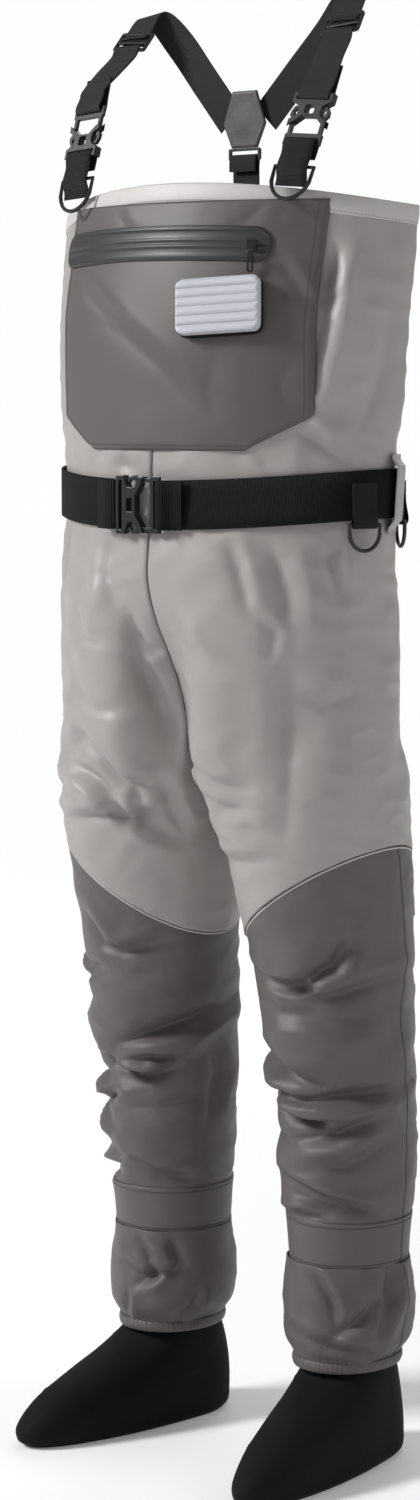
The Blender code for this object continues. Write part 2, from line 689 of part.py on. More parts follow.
def make_chest_fittings():
    make_chest_arc("zip_welt", spread(*ZIP_ENDS, 15), ZIP_Z - ZIP_WIDTH / 2, ZIP_Z + ZIP_WIDTH / 2,
                   0.0078, 0.0012, "coated")
    place = chest_place(SLIDER_ANGLE, ZIP_Z, 0.0118)
    add_object("zip_slider", box_mesh("zip_slider", (0.011, 0.0040, 0.0085), 0.0012), "moulding", place)
    hang = chest_place(SLIDER_ANGLE, ZIP_Z - 0.0060, 0.0148)
    upright = hang @ Matrix.Rotation(math.pi / 2, 4, "X")
    outline = rounded(-0.0030, -0.0215, 0.0030, -0.0002, 0.0025, 3)
    hole = rounded(-0.0014, -0.0195, 0.0014, -0.0100, 0.0012, 2)
    curve_outline("zip_pull", [outline, hole], 0.0022, upright, "moulding", 0.0003)
    tilt = Matrix.Rotation(math.radians(-3.0), 4, "Y")
    base = front_frame(*PATCH_SPOT) @ Matrix.Translation((0, -0.0070, 0)) @ tilt
    add_object("fly_patch_base", box_mesh("fly_patch_base", (0.088, 0.0016, 0.056), 0.0), "webbing", base)
    foam = base @ Matrix.Translation((0, -0.0066, 0.0015))
    add_object("fly_patch", box_mesh("fly_patch", (0.087, 0.0110, 0.054), 0.0025), "foam", foam)


def main():
    clear_scene()
    make_legs()
    make_collar()
    make_pocket()
    make_chest_fittings()
    make_straps()
    make_back()
    make_belt()
    make_belt_loops()
    make_belt_rings()
    for obj in [*PARTS.objects, *CUTTERS.objects]:
        obj.matrix_world = Matrix.Translation((0.0, ORIGIN_Y, 0.0)) @ obj.matrix_world


main()
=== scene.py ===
"""Stocking-foot chest waders: fabric, webbing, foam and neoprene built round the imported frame."""

import logging
import math
from dataclasses import dataclass
from enum import Enum
from typing import Sequence

import bmesh
import bpy
import numpy as np
from mathutils import Matrix, Vector, noise


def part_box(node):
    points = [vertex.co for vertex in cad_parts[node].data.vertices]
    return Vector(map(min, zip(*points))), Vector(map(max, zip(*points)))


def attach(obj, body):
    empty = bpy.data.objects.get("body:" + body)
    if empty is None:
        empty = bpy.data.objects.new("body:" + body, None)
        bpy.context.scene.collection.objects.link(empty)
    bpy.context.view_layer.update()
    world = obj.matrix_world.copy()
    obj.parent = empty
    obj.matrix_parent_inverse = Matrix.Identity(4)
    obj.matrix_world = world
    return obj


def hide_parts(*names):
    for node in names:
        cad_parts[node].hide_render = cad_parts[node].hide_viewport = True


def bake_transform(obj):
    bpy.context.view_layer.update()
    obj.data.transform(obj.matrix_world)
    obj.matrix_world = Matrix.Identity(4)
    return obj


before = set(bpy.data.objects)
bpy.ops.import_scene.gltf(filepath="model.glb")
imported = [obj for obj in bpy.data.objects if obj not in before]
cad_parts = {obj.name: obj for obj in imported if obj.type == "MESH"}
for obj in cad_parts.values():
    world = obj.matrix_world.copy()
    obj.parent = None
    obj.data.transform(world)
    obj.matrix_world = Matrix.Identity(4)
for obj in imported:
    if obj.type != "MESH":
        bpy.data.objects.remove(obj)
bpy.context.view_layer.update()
LOG = logging.getLogger("waders")

Array = np.ndarray
Piece = bpy.types.Object
GARMENT = "garment"


class Side(Enum):
    """The wearer's left or right. The value is the sign of X."""

    LEFT = 1
    RIGHT = -1

    @property
    def word(self) -> str:
        """The side's name as node names use it."""
        return self.name.lower()


# --------------------------------------------------------------------------- finishes


def put(node: bpy.types.Node, values: dict) -> None:
    """Sets a node's inputs by name."""
    for name, value in values.items():
        node.inputs[name].default_value = value


@dataclass(frozen=True)
class Finish:
    """A surface finish: its colour, gloss, weave and unevenness.

    Args:
        name: material name.
        slot: the record's material slot, not used.
        colour: linear base colour.
        rough: roughness.
        weave: pitch of the weave in metres, 0 for none.
        relief: strength of the weave's bump.
        mottle: share by which the colour wanders.
        sheen: fuzz of the surface.
        crinkle: strength of a fine uneven bump.
        ribs: pitch of ribs along a piece's run, 0 for none.
        coat: clear coat.
        shine: specular level.
    """

    name: str
    slot: str
    colour: tuple[float, float, float]
    rough: float
    weave: float = 0.0
    relief: float = 0.1
    mottle: float = 0.06
    sheen: float = 0.0
    crinkle: float = 0.0
    ribs: float = 0.0
    coat: float = 0.0
    shine: float = 0.4

    def material(self) -> bpy.types.Material:
        """Builds the node material, or returns the one already built.

        Returns:
            The material.
        """
        known = bpy.data.materials.get(self.name)
        if known:
            return known
        material = bpy.data.materials.new(self.name)
        material.use_nodes = True
        tree = material.node_tree
        shader = tree.nodes["Principled BSDF"]
        put(shader, {"Sheen Weight": self.sheen, "Specular IOR Level": self.shine, "Coat Weight": self.coat,
                     "Coat Roughness": 0.25})
        place = tree.nodes.new("ShaderNodeTexCoord")
        self._colour(tree, shader, place)
        self._bump(tree, shader, place)
        return material

    def _noise(self, tree: bpy.types.NodeTree, place: bpy.types.Node, scale: float,
               detail: float) -> bpy.types.Node:
        """Adds a noise texture in object space.

        Args:
            tree: the material's nodes.
            place: the texture coordinate node.
            scale: cells per metre.
            detail: octaves.

        Returns:
            The noise node.
        """
        node = tree.nodes.new("ShaderNodeTexNoise")
        put(node, {"Scale": scale, "Detail": detail})
        tree.links.new(place.outputs["Object"], node.inputs["Vector"])
        return node

    def _colour(self, tree: bpy.types.NodeTree, shader: bpy.types.Node, place: bpy.types.Node) -> None:
        """Gives the colour a slow drift and a fine yarn-to-yarn change, and the roughness a drift.

        Args:
            tree: the material's nodes.
            shader: the principled shader.
            place: the texture coordinate node.
        """
        broad = self._noise(tree, place, 9.0, 3.0)
        fine = self._noise(tree, place, 900.0, 1.0)
        mix = tree.nodes.new("ShaderNodeMix")
        mix.data_type = "FLOAT"
        mix.inputs["Factor"].default_value = 0.45
        tree.links.new(broad.outputs["Fac"], mix.inputs[2])
        tree.links.new(fine.outputs["Fac"], mix.inputs[3])
        ramp = tree.nodes.new("ShaderNodeValToRGB")
        low = [channel * (1.0 - self.mottle * 1.6) for channel in self.colour]
        high = [min(1.0, channel * (1.0 + self.mottle * 1.6)) for channel in self.colour]
        ramp.color_ramp.elements[0].position = 0.32
        ramp.color_ramp.elements[0].color = (*low, 1.0)
        ramp.color_ramp.elements[1].position = 0.68
        ramp.color_ramp.elements[1].color = (*high, 1.0)
        tree.links.new(mix.outputs[0], ramp.inputs["Fac"])
        tree.links.new(ramp.outputs["Color"], shader.inputs["Base Color"])
        spread = tree.nodes.new("ShaderNodeMapRange")
        put(spread, {"To Min": self.rough - 0.05, "To Max": self.rough + 0.05})
        tree.links.new(broad.outputs["Fac"], spread.inputs["Value"])
        tree.links.new(spread.outputs["Result"], shader.inputs["Roughness"])

    def _bump(self, tree: bpy.types.NodeTree, shader: bpy.types.Node, place: bpy.types.Node) -> None:
        """Adds the weave, the ribs and the fine crinkle as one chain of bumps.

        Args:
            tree: the material's nodes.
            shader: the principled shader.
            place: the texture coordinate node.
        """
        heights: list[tuple[bpy.types.NodeSocket, float, float]] = []
        if self.weave:
            for direction in ("X", "Z"):
                wave = tree.nodes.new("ShaderNodeTexWave")
                wave.bands_direction = direction
                put(wave, {"Scale": 0.314 / self.weave, "Distortion": 0.6, "Detail": 1.0})
                tree.links.new(place.outputs["Object"], wave.inputs["Vector"])
                heights.append((wave.outputs["Fac"], self.relief, self.weave * 0.3))
        if self.ribs:
            run = tree.nodes.new("ShaderNodeAttribute")
            run.attribute_name = "run"
            turns = tree.nodes.new("ShaderNodeMath")
            turns.operation = "MULTIPLY"
            turns.inputs[1].default_value = 2.0 * math.pi / self.ribs
            tree.links.new(run.outputs["Fac"], turns.inputs[0])
            sine = tree.nodes.new("ShaderNodeMath")
            sine.operation = "SINE"
            tree.links.new(turns.outputs["Value"], sine.inputs[0])
            heights.append((sine.outputs["Value"], 0.7, self.ribs * 0.22))
        if self.crinkle:
            heights.append((self._noise(tree, place, 45.0, 4.0).outputs["Fac"], self.crinkle, 0.004))
        heights.append((self._noise(tree, place, 1600.0, 1.0).outputs["Fac"], 0.12, 0.0003))
        above = None
        for socket, strength, distance in heights:
            bump = tree.nodes.new("ShaderNodeBump")
            put(bump, {"Strength": strength, "Distance": distance})
            tree.links.new(socket, bump.inputs["Height"])
            if above:
                tree.links.new(above.outputs["Normal"], bump.inputs["Normal"])
            above = bump
        tree.links.new(above.outputs["Normal"], shader.inputs["Normal"])


LIGHT_SHELL = Finish("light_shell_fabric", "light_fabric", (0.282, 0.267, 0.259), 0.46, 0.0011, 0.06, 0.03,
                     0.06, 0.05,
                     shine=0.42)
# The hem band is the light shell fabric painted brighter: a painted highlight where the band faces up into
# the light.
HEM_SHELL_PAINTED_HIGHLIGHT = Finish("hem_band_painted_highlight_fabric", "light_fabric", (0.430, 0.415, 0.405), 0.50, 0.0011, 0.06, 0.03, 0.06,
                   0.05, shine=0.4)
DARK_SHELL = Finish("dark_shell_fabric", "dark_fabric", (0.088, 0.080, 0.077), 0.50, 0.0011, 0.10, 0.05,
                    0.03, 0.06, shine=0.36)
POCKET_SHELL = Finish("pocket_shell_fabric", "dark_fabric", (0.076, 0.068, 0.066), 0.50, 0.0011, 0.08, 0.05,
                      0.03, 0.05,
                      shine=0.38)
SOCK = Finish("sock_neoprene", "neoprene", (0.0058, 0.0052, 0.0055), 0.74, 0.0009, 0.25, 0.10, 0.0, 0.04,
              shine=0.14)
BELT_WEB = Finish("belt_webbing_weave", "webbing", (0.0070, 0.0066, 0.0062), 0.64, 0.0, 0.3, 0.10, 0.0, 0.0,
                  0.0021, shine=0.10)
TAB_WEB = Finish("tab_webbing_weave", "webbing", (0.0090, 0.0080, 0.0085), 0.64, 0.0, 0.3, 0.10, 0.0, 0.0,
                 0.0014, shine=0.18)
ELASTIC = Finish("strap_elastic", "elastic_strap", (0.0180, 0.0165, 0.0170), 0.64, 0.0, 0.2, 0.10, 0.0, 0.0,
                 0.0012, shine=0.18)
PATCH_HIDE = Finish("back_patch_hide", "backing_leather", (0.055, 0.050, 0.052), 0.50, 0.0, 0.2, 0.08, 0.0,
                    0.25, shine=0.3)
ACETAL = Finish("black_acetal", "moulded_plastic", (0.0110, 0.0110, 0.0110), 0.34, 0.0, 0.1, 0.08, 0.0, 0.06,
                shine=0.32)
RING_ACETAL = Finish("ring_acetal", "moulded_plastic", (0.0150, 0.0140, 0.0140), 0.32, 0.0, 0.1, 0.08, 0.0,
                     0.06, shine=0.35)
WELT = Finish("coated_zip_tape", "coated_tape", (0.0240, 0.0220, 0.0240), 0.46, 0.0, 0.1, 0.08, 0.0, 0.05,
              0.0, 0.08, 0.35)
FOAM = Finish("fly_foam", "foam", (0.47, 0.475, 0.52), 0.62, 0.0, 0.1, 0.03, 0.0, 0.10, shine=0.3)
HOOK = Finish("hook_backing", "hook_loop", (0.008, 0.008, 0.009), 0.85, 0.0014, 0.9, 0.2, 0.0, 0.2, shine=0.2)
THREAD = Finish("grey_thread", "light_fabric", (0.21, 0.20, 0.195), 0.65, 0.0, 0.1, 0.05, 0.1, 0.0)
DARK_THREAD = Finish("dark_thread", "dark_fabric", (0.045, 0.042, 0.040), 0.65, 0.0, 0.1, 0.05, 0.0, 0.0)
PALE_TAPE = Finish("pale_seam_tape", "light_fabric", (0.42, 0.41, 0.40), 0.45, 0.0, 0.1, 0.03, 0.0, 0.0)


# --------------------------------------------------------------------------- the worn shape


@dataclass(frozen=True)
class Stations:
    """Rows of values at heights, read on a smooth curve.

    Args:
        rows: each row starts with its height.
    """

    rows: tuple[tuple[float, ...], ...]

    def read(self, height: Array) -> list[Array]:
        """Values at some heights.

        Args:
            height: heights in metres.

        Returns:
            One array for each value column.
        """
        rows = np.array(sorted(self.rows))
        keys = rows[:, 0]
        height = np.clip(np.asarray(height, float), keys[0], keys[-1])
        slot = np.clip(np.searchsorted(keys, height, side="right") - 1, 0, len(keys) - 2)
        span = keys[slot + 1] - keys[slot]
        share = (height - keys[slot]) / span
        before, after = np.maximum(slot - 1, 0), np.minimum(slot + 2, len(keys) - 1)
        values = []
        for column in rows.T[1:]:
            low, high = column[slot], column[slot + 1]
            rise_low = (high - column[before]) / (keys[slot + 1] - keys[before]) * span
            rise_high = (column[after] - low) / (keys[after] - keys[slot]) * span
            values.append(
                (2 * share**3 - 3 * share**2 + 1) * low
                + (share**3 - 2 * share**2 + share) * rise_low
                + (3 * share**2 - 2 * share**3) * high
                + (share**3 - share**2) * rise_high
            )
        return values


BODY = Stations((
    (1.310, 0.232, 0.000, 0.104, 0.020, 1.85),
    (1.180, 0.220, -0.004, 0.124, 0.045, 1.25),
    (1.080, 0.210, -0.008, 0.124, 0.070, 1.15),
    (0.990, 0.199, -0.012, 0.122, 0.092, 1.10),
    (0.880, 0.197, -0.015, 0.129, 0.120, 1.00),
    (0.770, 0.198, -0.010, 0.120, 0.114, 1.00),
))
LEG = Stations((
    (0.770, 0.1000, -0.010, 0.0980, 0.114),
    (0.690, 0.1060, -0.008, 0.0945, 0.103),
    (0.600, 0.1120, 0.004, 0.0890, 0.093),
    (0.500, 0.1160, 0.018, 0.0780, 0.083),
    (0.400, 0.1190, 0.030, 0.0715, 0.076),
    (0.300, 0.1195, 0.037, 0.0665, 0.070),
    (0.211, 0.1195, 0.039, 0.0595, 0.062),
    (0.160, 0.1195, 0.040, 0.0605, 0.063),
    (0.100, 0.1195, 0.036, 0.0565, 0.065),
))
FOOT = Stations((
    (0.150, 0.046, 0.046, 0.042),
    (0.114, 0.050, 0.049, 0.043),
    (0.098, 0.055, 0.053, 0.045),
    (0.084, 0.082, 0.058, 0.047),
    (0.064, 0.138, 0.062, 0.049),
    (0.042, 0.188, 0.064, 0.051),
    (0.020, 0.214, 0.064, 0.052),
    (0.006, 0.214, 0.062, 0.052),
    (0.000, 0.206, 0.056, 0.047),
))
HEM_BAND = 0.020
CROTCH_Z = 0.770
CROTCH_DIP = 0.018
BELT_Z = 0.992
BELT_SAG = 0.012
BELT_WIDTH = 0.050
STRAP_WIDTH = 0.038
BAND_TOP = 0.255
BAND_BOTTOM = 0.211
GUARD_HEM = 0.100
CHEST_RADIUS = 0.298
CHEST_SLOPE = 0.150
ZIP_Z = 1.240
FORWARD = (sum(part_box("back_patch"), Vector()) / 2).y - 0.0125
TO_FRAME = (0.0, FORWARD, 0.0)
LEG_AXIS = (0.1175, 0.02)
CLOTH = 0.0011
ELASTIC_WIDTH = STRAP_WIDTH - 0.002
FOLD_HEADING = 40.0
DEEPEST_FOLD = -0.020
CORD_SIDES = 8
THREAD_SIDES = 5


def body_point(turn: Array, height: Array, out: float = 0.0) -> Array:
    """Points on the body; turn is 0 at the front centre and pi at the back.

    Args:
        turn: angles round the body.
        height: heights, of the same shape.
        out: distance off the surface.

    Returns:
        An array of points, with a last axis of 3.
    """
    half, side_y, front, back, sharp = BODY.read(height)
    lean = np.sign(np.cos(turn)) * np.abs(np.cos(turn)) ** sharp
    depth = np.where(lean > 0, front, back) + out
    return np.stack([(half + out) * np.sin(turn), side_y - depth * lean, np.asarray(height, float)], -1)


def turn_at(x: Array, height: Array) -> Array:
    """The turn on the front where the body reaches x."""
    return np.arcsin(np.clip(x / BODY.read(height)[0], -1.0, 1.0))


def leg_point(side: Side, angle: Array, height: Array, out: float = 0.0) -> Array:
    """Points on a leg; angle is 0 outside, -pi/2 in front and pi/2 behind.

    Args:
        side: which leg.
        angle: angles round the leg.
        height: heights, of the same shape.
        out: distance off the surface.

    Returns:
        An array of points.
    """
    x, y, half, deep = LEG.read(height)
    return np.stack(
        [side.value * (x + (half + out) * np.cos(angle)), y + (deep + out) * np.sin(angle),
         np.asarray(height, float)],
        -1,
    )


def leg_axis(side: Side) -> Vector:
    """A point on a lower leg's middle line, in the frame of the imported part."""
    return Vector((side.value * LEG_AXIS[0], FORWARD + LEG_AXIS[1], 0.0))


def collar_top(turn: Array) -> Array:
    """Height of the collar's edge, lowest at the back."""
    sine = np.sin(turn) ** 2
    return np.where(np.cos(turn) > 0, 1.303 - 0.025 * sine, 1.222 + 0.056 * sine)


def belt_height(turn: Array) -> Array:
    """Height of the belt's middle, lowest in front."""
    return BELT_Z + BELT_SAG * 0.5 - BELT_SAG * np.maximum(0.0, np.cos(turn)) ** 2


def knee_seam(angle: Array) -> Array:
    """Height of the slanted seam above the shin panel."""
    return 0.592 + 0.056 * np.cos(angle)


def round_turns(count: int) -> Array:
    """Evenly spaced angles once round."""
    return np.linspace(0.0, 2 * math.pi, count, endpoint=False)


def ease(value: Array) -> Array:
    """Smooth step from 0 to 1."""
    value = np.clip(value, 0.0, 1.0)
    return value * value * (3 - 2 * value)


# --------------------------------------------------------------------------- folds


@dataclass(frozen=True)
class Crease:
    """A fold in the fabric, as a hollow with a raised lip on one side of its path.

    Args:
        path: points across and up on the sheet that the fold is drawn on.
        depth: depth of the hollow, in metres.
        width: half width of the hollow.
        lip: height of the raised side as a share of the depth; a negative share raises the other side.
    """

    path: tuple[tuple[float, float], ...]
    depth: float
    width: float
    lip: float = 0.7

    def height(self, across: Array, up: Array) -> Array:
        """Displacement of points at these places on the sheet.

        Args:
            across: distances across the sheet.
            up: heights.

        Returns:
            Displacements, outwards positive.
        """
        best = np.full(across.shape, 1e9)
        signed = np.zeros(across.shape)
        along = np.zeros(across.shape)
        lengths = [math.dist(a, b) for a, b in zip(self.path, self.path[1:])]
        total, done = sum(lengths), 0.0
        for (ax, ay), (bx, by), length in zip(self.path, self.path[1:], lengths):
            dx, dy = (bx - ax) / length, (by - ay) / length
            run = np.clip((across - ax) * dx + (up - ay) * dy, 0.0, length)
            ox, oy = across - ax - run * dx, up - ay - run * dy
            gap = np.hypot(ox, oy)
            nearer = gap < best
            best = np.where(nearer, gap, best)
            signed = np.where(nearer, gap * np.sign(dx * oy - dy * ox), signed)
            along = np.where(nearer, (done + run) / total, along)
            done += length
        taper = np.sin(math.pi * np.clip(along, 0.02, 0.98)) ** 0.6
        shift = (signed - 1.7 * self.width * math.copysign(1.0, self.lip)) / (1.15 * self.width)
        sharp = np.sqrt((best / self.width) ** 2 + 0.03) - 0.17
        hollow = -1.15 * self.depth * np.exp(-1.25 * sharp)
        raised = abs(self.lip) * self.depth * np.exp(-1.3 * (np.sqrt(shift**2 + 0.06) - 0.24))
        near = np.exp(-np.maximum(0.0, best - 3.2 * self.width) ** 2 / self.width**2)
        return (hollow + raised) * near * taper


@dataclass(frozen=True)
class Swell:
    """A broad bulge or hollow.

    Args:
        middle: place across and up.
        size: half sizes across and up.
        rise: displacement at the middle.
        lean: turn of its long axis in degrees.
    """

    middle: tuple[float, float]
    size: tuple[float, float]
    rise: float
    lean: float = 0.0

    def height(self, across: Array, up: Array) -> Array:
        """Displacement of points at these places on the sheet.

        Args:
            across: distances across the sheet.
            up: heights.

        Returns:
            Displacements, outwards positive.
        """
        c, s = math.cos(math.radians(self.lean)), math.sin(math.radians(self.lean))
        x, y = across - self.middle[0], up - self.middle[1]
        long, short = (x * c + y * s) / self.size[0], (y * c - x * s) / self.size[1]
        return self.rise * np.exp(-(long**2) - short**2)


def fold(path: Sequence[tuple[float, float]], depth: float, width: float, lip: float = 0.7) -> Crease:
    """A crease whose path, depth and width are in millimetres."""
    return Crease(tuple((x / 1000, y / 1000) for x, y in path), depth / 1000, width / 1000, lip)


def swell(middle: tuple[float, float], size: tuple[float, float], rise: float, lean: float = 0.0) -> Swell:
    """A swell whose place, size and rise are in millimetres."""
    return Swell((middle[0] / 1000, middle[1] / 1000), (size[0] / 1000, size[1] / 1000), rise / 1000, lean)


@dataclass(frozen=True)
class FoldSheet:
    """Folds drawn on an upright plane and laid on whatever faces it.

    Args:
        heading: compass of the plane's outward direction, 0 in front and 90 at the wearer's left.
        marks: the folds.
    """

    heading: float
    marks: tuple

    def height(self, points: Array, normals: Array) -> Array:
        """Displacement of surface points.

        Args:
            points: points on the surface.
            normals: their outward directions.

        Returns:
            Displacements.
        """
        turn = math.radians(self.heading)
        facing = normals[..., 0] * math.sin(turn) - normals[..., 1] * math.cos(turn)
        across = points[..., 0] * math.cos(turn) + points[..., 1] * math.sin(turn)
        total = sum(mark.height(across, points[..., 2]) for mark in self.marks)
        return total * ease((facing + 0.05) / 0.35)


def mirrored(marks: Sequence, sway: float = 0.0) -> tuple:
    """The same folds seen in a mirror, with an optional rise.

    Args:
        marks: the folds.
        sway: distance that they are raised.

    Returns:
        The turned folds.
    """
    turned = []
    for mark in marks:
        if isinstance(mark, Crease):
            path = tuple((-x, y + sway) for x, y in mark.path)
            turned.append(Crease(path, mark.depth, mark.width, -mark.lip))
        else:
            turned.append(Swell((-mark.middle[0], mark.middle[1] + sway), mark.size, mark.rise, -mark.lean))
    return tuple(turned)


THIGH_LEFT = (
    fold(((30, 955), (46, 905), (48, 860)), 8.5, 13.1, 0.5),
    fold(((50, 850), (52, 760), (46, 640)), 5.9, 16.4, -0.5),
    fold(((-10, 955), (0, 925), (12, 880)), 6.8, 8.2, 0.6),
    fold(((98, 962), (90, 935), (98, 900)), 7.6, 9, 0.6),
    fold(((-52, 735), (-20, 712), (20, 705)), 6.8, 9.8, 0.5),
    fold(((-40, 690), (10, 668), (52, 650)), 5.1, 8.2, -0.5),
    fold(((-62, 880), (-52, 845), (-30, 820)), 6, 9, 0.6),
    fold(((-36, 706), (-12, 686), (16, 686)), 6.5, 8, -0.8),
    fold(((22, 876), (34, 862), (30, 838)), 4.5, 7, 0.7),
    fold(((-46, 640), (-10, 628), (36, 634)), 5, 9, 0.7),
    fold(((55, 800), (85, 790), (115, 805)), 4.3, 9.8, 0.5),
    swell((0, 850), (50, 120), 6),
    swell((-30, 690), (30, 70), 12),
    swell((100, 780), (45, 120), 4),
)
THIGH_RIGHT = (
    fold(((-110, 880), (-98, 830), (-72, 770), (-62, 740)), 16.2, 9, 0.5),
    fold(((-100, 858), (-86, 838), (-70, 845)), 9.5, 5.7, -0.6),
    fold(((-160, 745), (-118, 700), (-82, 698)), 14.9, 9.8, 0.9),
    fold(((-180, 722), (-145, 700), (-105, 655)), 10.8, 8.2, -0.8),
    fold(((-176, 655), (-130, 668), (-112, 660), (-65, 672)), 10.1, 7.4, 0.7),
    fold(((-105, 700), (-95, 655), (-60, 640)), 9.5, 8.2, -0.7),
    fold(((-152, 965), (-158, 900), (-175, 830)), 7.4, 10.7, 0.7),
    fold(((-128, 958), (-132, 915), (-120, 880)), 6.8, 8.2, -0.5),
    fold(((-178, 955), (-186, 900), (-192, 820)), 5.4, 9.8, 0.5),
    fold(((-176, 880), (-150, 850), (-128, 842)), 6, 9, 0.7),
    fold(((-168, 800), (-140, 776), (-112, 780)), 6.5, 9, -0.8),
    fold(((-80, 715), (-66, 672), (-52, 640)), 7, 9, 0.6),
    swell((-140, 800), (35, 70), 9),
)
CHEST = (
    fold(((75, 1250), (86, 1190), (70, 1120), (58, 1078)), 9.6, 11, 0.8),
    fold(((96, 1245), (90, 1215), (76, 1180)), 9.6, 10, 0.6),
    fold(((150, 1180), (140, 1120), (118, 1055)), 6.4, 16, 0.5),
    fold(((50, 1065), (80, 1045), (110, 1025)), 7.2, 10, 0.7),
    fold(((0, 1050), (20, 1036), (30, 1022)), 5.6, 9, 0.6),
    fold(((-168, 1060), (-150, 1045), (-140, 1025)), 6.4, 10, 0.6),
    fold(((-120, 1035), (-110, 1022), (-98, 1018)), 4.8, 8, 0.6),
    swell((120, 1130), (30, 60), 5),
)
SHIN_LEFT = (
    fold(((22, 512), (60, 508), (95, 528), (112, 555)), 14.4, 8.5, -0.8),
    fold(((24, 500), (80, 494), (130, 505), (158, 512)), 11.9, 10, 0.7),
    fold(((40, 478), (85, 470), (140, 475)), 5.6, 12, -0.7),
    fold(((32, 430), (42, 410), (60, 396)), 7.5, 10, 0.5),
    fold(((48, 382), (95, 390), (165, 398)), 15.6, 8.5, -0.9),
    fold(((44, 372), (72, 362), (88, 356)), 15, 6, 0.8),
    fold(((52, 340), (100, 352), (142, 372)), 11.9, 8, -0.8),
    fold(((60, 312), (110, 318), (160, 345)), 6.3, 9, 0.6),
    fold(((52, 300), (90, 284), (140, 270)), 11.9, 6, 0.9),
    fold(((54, 286), (85, 276), (120, 268)), 8.8, 5, -0.6),
    swell((85, 450), (50, 30), 6),
    swell((165, 520), (14, 50), 6),
    swell((160, 470), (16, 30), -6),
)
SHIN_RIGHT = (
    fold(((-165, 560), (-140, 520), (-120, 515), (-75, 530)), 10.6, 9, 0.8),
    fold(((-155, 495), (-110, 492), (-75, 498)), 5, 11, 0.6),
    fold(((-135, 408), (-100, 425), (-50, 440), (-12, 455)), 16.3, 10, -0.9),
    fold(((-135, 392), (-90, 404), (-40, 398)), 13.7, 8.5, 0.5),
    fold(((-150, 402), (-130, 382), (-95, 378), (-60, 390)), 16.3, 7, 0.9),
    fold(((-128, 345), (-80, 348), (-30, 362)), 5.6, 11, -0.6),
    fold(((-30, 420), (-16, 380), (-30, 330)), 7.5, 8, 0.6),
    fold(((-120, 290), (-80, 272), (-40, 268)), 7.5, 8, 0.8),
    swell((-110, 460), (45, 30), 5),
    swell((-100, 330), (50, 28), 4),
)
GUARD_LEFT = (
    fold(((75, 205), (95, 180), (102, 150)), 7.8, 7, 0.8),
    fold(((90, 135), (120, 155), (152, 185)), 9.1, 9, -0.7),
    fold(((60, 140), (90, 128), (140, 122)), 7.8, 8, 0.7),
    fold(((158, 215), (156, 175), (140, 135)), 9.1, 6, 0.7),
)
GUARD_RIGHT = (
    fold(((-105, 205), (-92, 185), (-85, 165), (-105, 150)), 7.8, 6, 0.8),
    fold(((-70, 205), (-60, 180), (-72, 160)), 6.5, 7, -0.7),
    fold(((-120, 175), (-98, 160), (-60, 170)), 6.5, 7, 0.7),
    fold(((-112, 150), (-116, 130), (-120, 115)), 5.9, 5, 0.6),
    fold(((-40, 150), (-45, 130), (-60, 118)), 5.9, 6, 0.6),
)
BACK_HIPS = (
    fold(((-110, 955), (-90, 900), (-60, 850)), 8.4, 14, 0.6),
    fold(((110, 955), (86, 905), (62, 860)), 7.7, 14, -0.6),
    fold(((-70, 800), (-30, 775), (-5, 770)), 9.8, 12, 0.7),
    fold(((70, 805), (34, 778), (5, 770)), 9.8, 12, -0.7),
    fold(((-170, 720), (-110, 700), (-50, 715)), 11.2, 11, 0.8),
    fold(((170, 712), (120, 694), (50, 705)), 11.2, 11, -0.8),
    fold(((-160, 650), (-110, 640), (-60, 655)), 8.4, 10, -0.7),
    fold(((60, 650), (110, 636), (165, 650)), 8.4, 10, 0.7),
    fold(((-120, 1150), (-80, 1090), (-50, 1030)), 7, 16, 0.6),
    fold(((130, 1140), (90, 1085), (60, 1028)), 7, 16, -0.6),
)
BACK_LEGS = (
    fold(((-165, 560), (-110, 535), (-60, 550)), 12.1, 10, 0.8),
    fold(((60, 552), (115, 530), (170, 556)), 12.1, 10, 0.8),
    fold(((-160, 500), (-110, 515), (-65, 505)), 9.4, 9, -0.8),
    fold(((65, 500), (110, 512), (160, 498)), 9.4, 9, -0.8),
    fold(((-165, 430), (-120, 412), (-70, 425)), 9.9, 10, 0.7),
    fold(((70, 428), (120, 408), (165, 426)), 9.9, 10, 0.7),
    fold(((-165, 350), (-115, 340), (-70, 360)), 8.8, 9, -0.8),
    fold(((70, 345), (120, 336), (166, 352)), 8.8, 9, -0.8),
    fold(((-160, 290), (-110, 282), (-75, 290)), 6.6, 8, 0.8),
    fold(((75, 290), (120, 280), (160, 288)), 6.6, 8, 0.8),
    fold(((-150, 190), (-120, 165), (-85, 180)), 5.5, 8, 0.8),
    fold(((85, 185), (115, 160), (150, 186)), 5.5, 8, 0.8),
)


def soft_noise(points: Array, size: float, seed: float, ridged: bool = False) -> Array:
    """Smooth unevenness at points.

    Args:
        points: points on the surface.
        size: rough size of a bump in metres.
        seed: shifts the pattern.
        ridged: sharp creases in place of round bumps.

    Returns:
        Values from about -1 to 1.
    """
    flat = points.reshape(-1, 3)
    values = np.array([noise.noise(Vector(p) / size + Vector((seed, seed * 0.7, -seed))) for p in flat])
    if ridged:
        values = 1.0 - 2.4 * np.abs(values)
    return values.reshape(points.shape[:-1])


def grid_normals(points: Array, ring: bool) -> Array:
    """Outward directions on a grid of rows that run down and columns that run round.

    Args:
        points: grid of points.
        ring: whether the columns close.

    Returns:
        Unit directions.
    """
    if ring:
        across = np.roll(points, -1, axis=1) - np.roll(points, 1, axis=1)
    else:
        across = np.gradient(points, axis=1)
    down = np.gradient(points, axis=0)
    normal = np.cross(across, down)
    normal /= np.maximum(np.linalg.norm(normal, axis=-1, keepdims=True), 1e-9)
    middle = points.reshape(-1, 3).mean(axis=0)
    if np.sum(normal * (points - middle)) < 0:
        normal = -normal
    return normal


# --------------------------------------------------------------------------- building


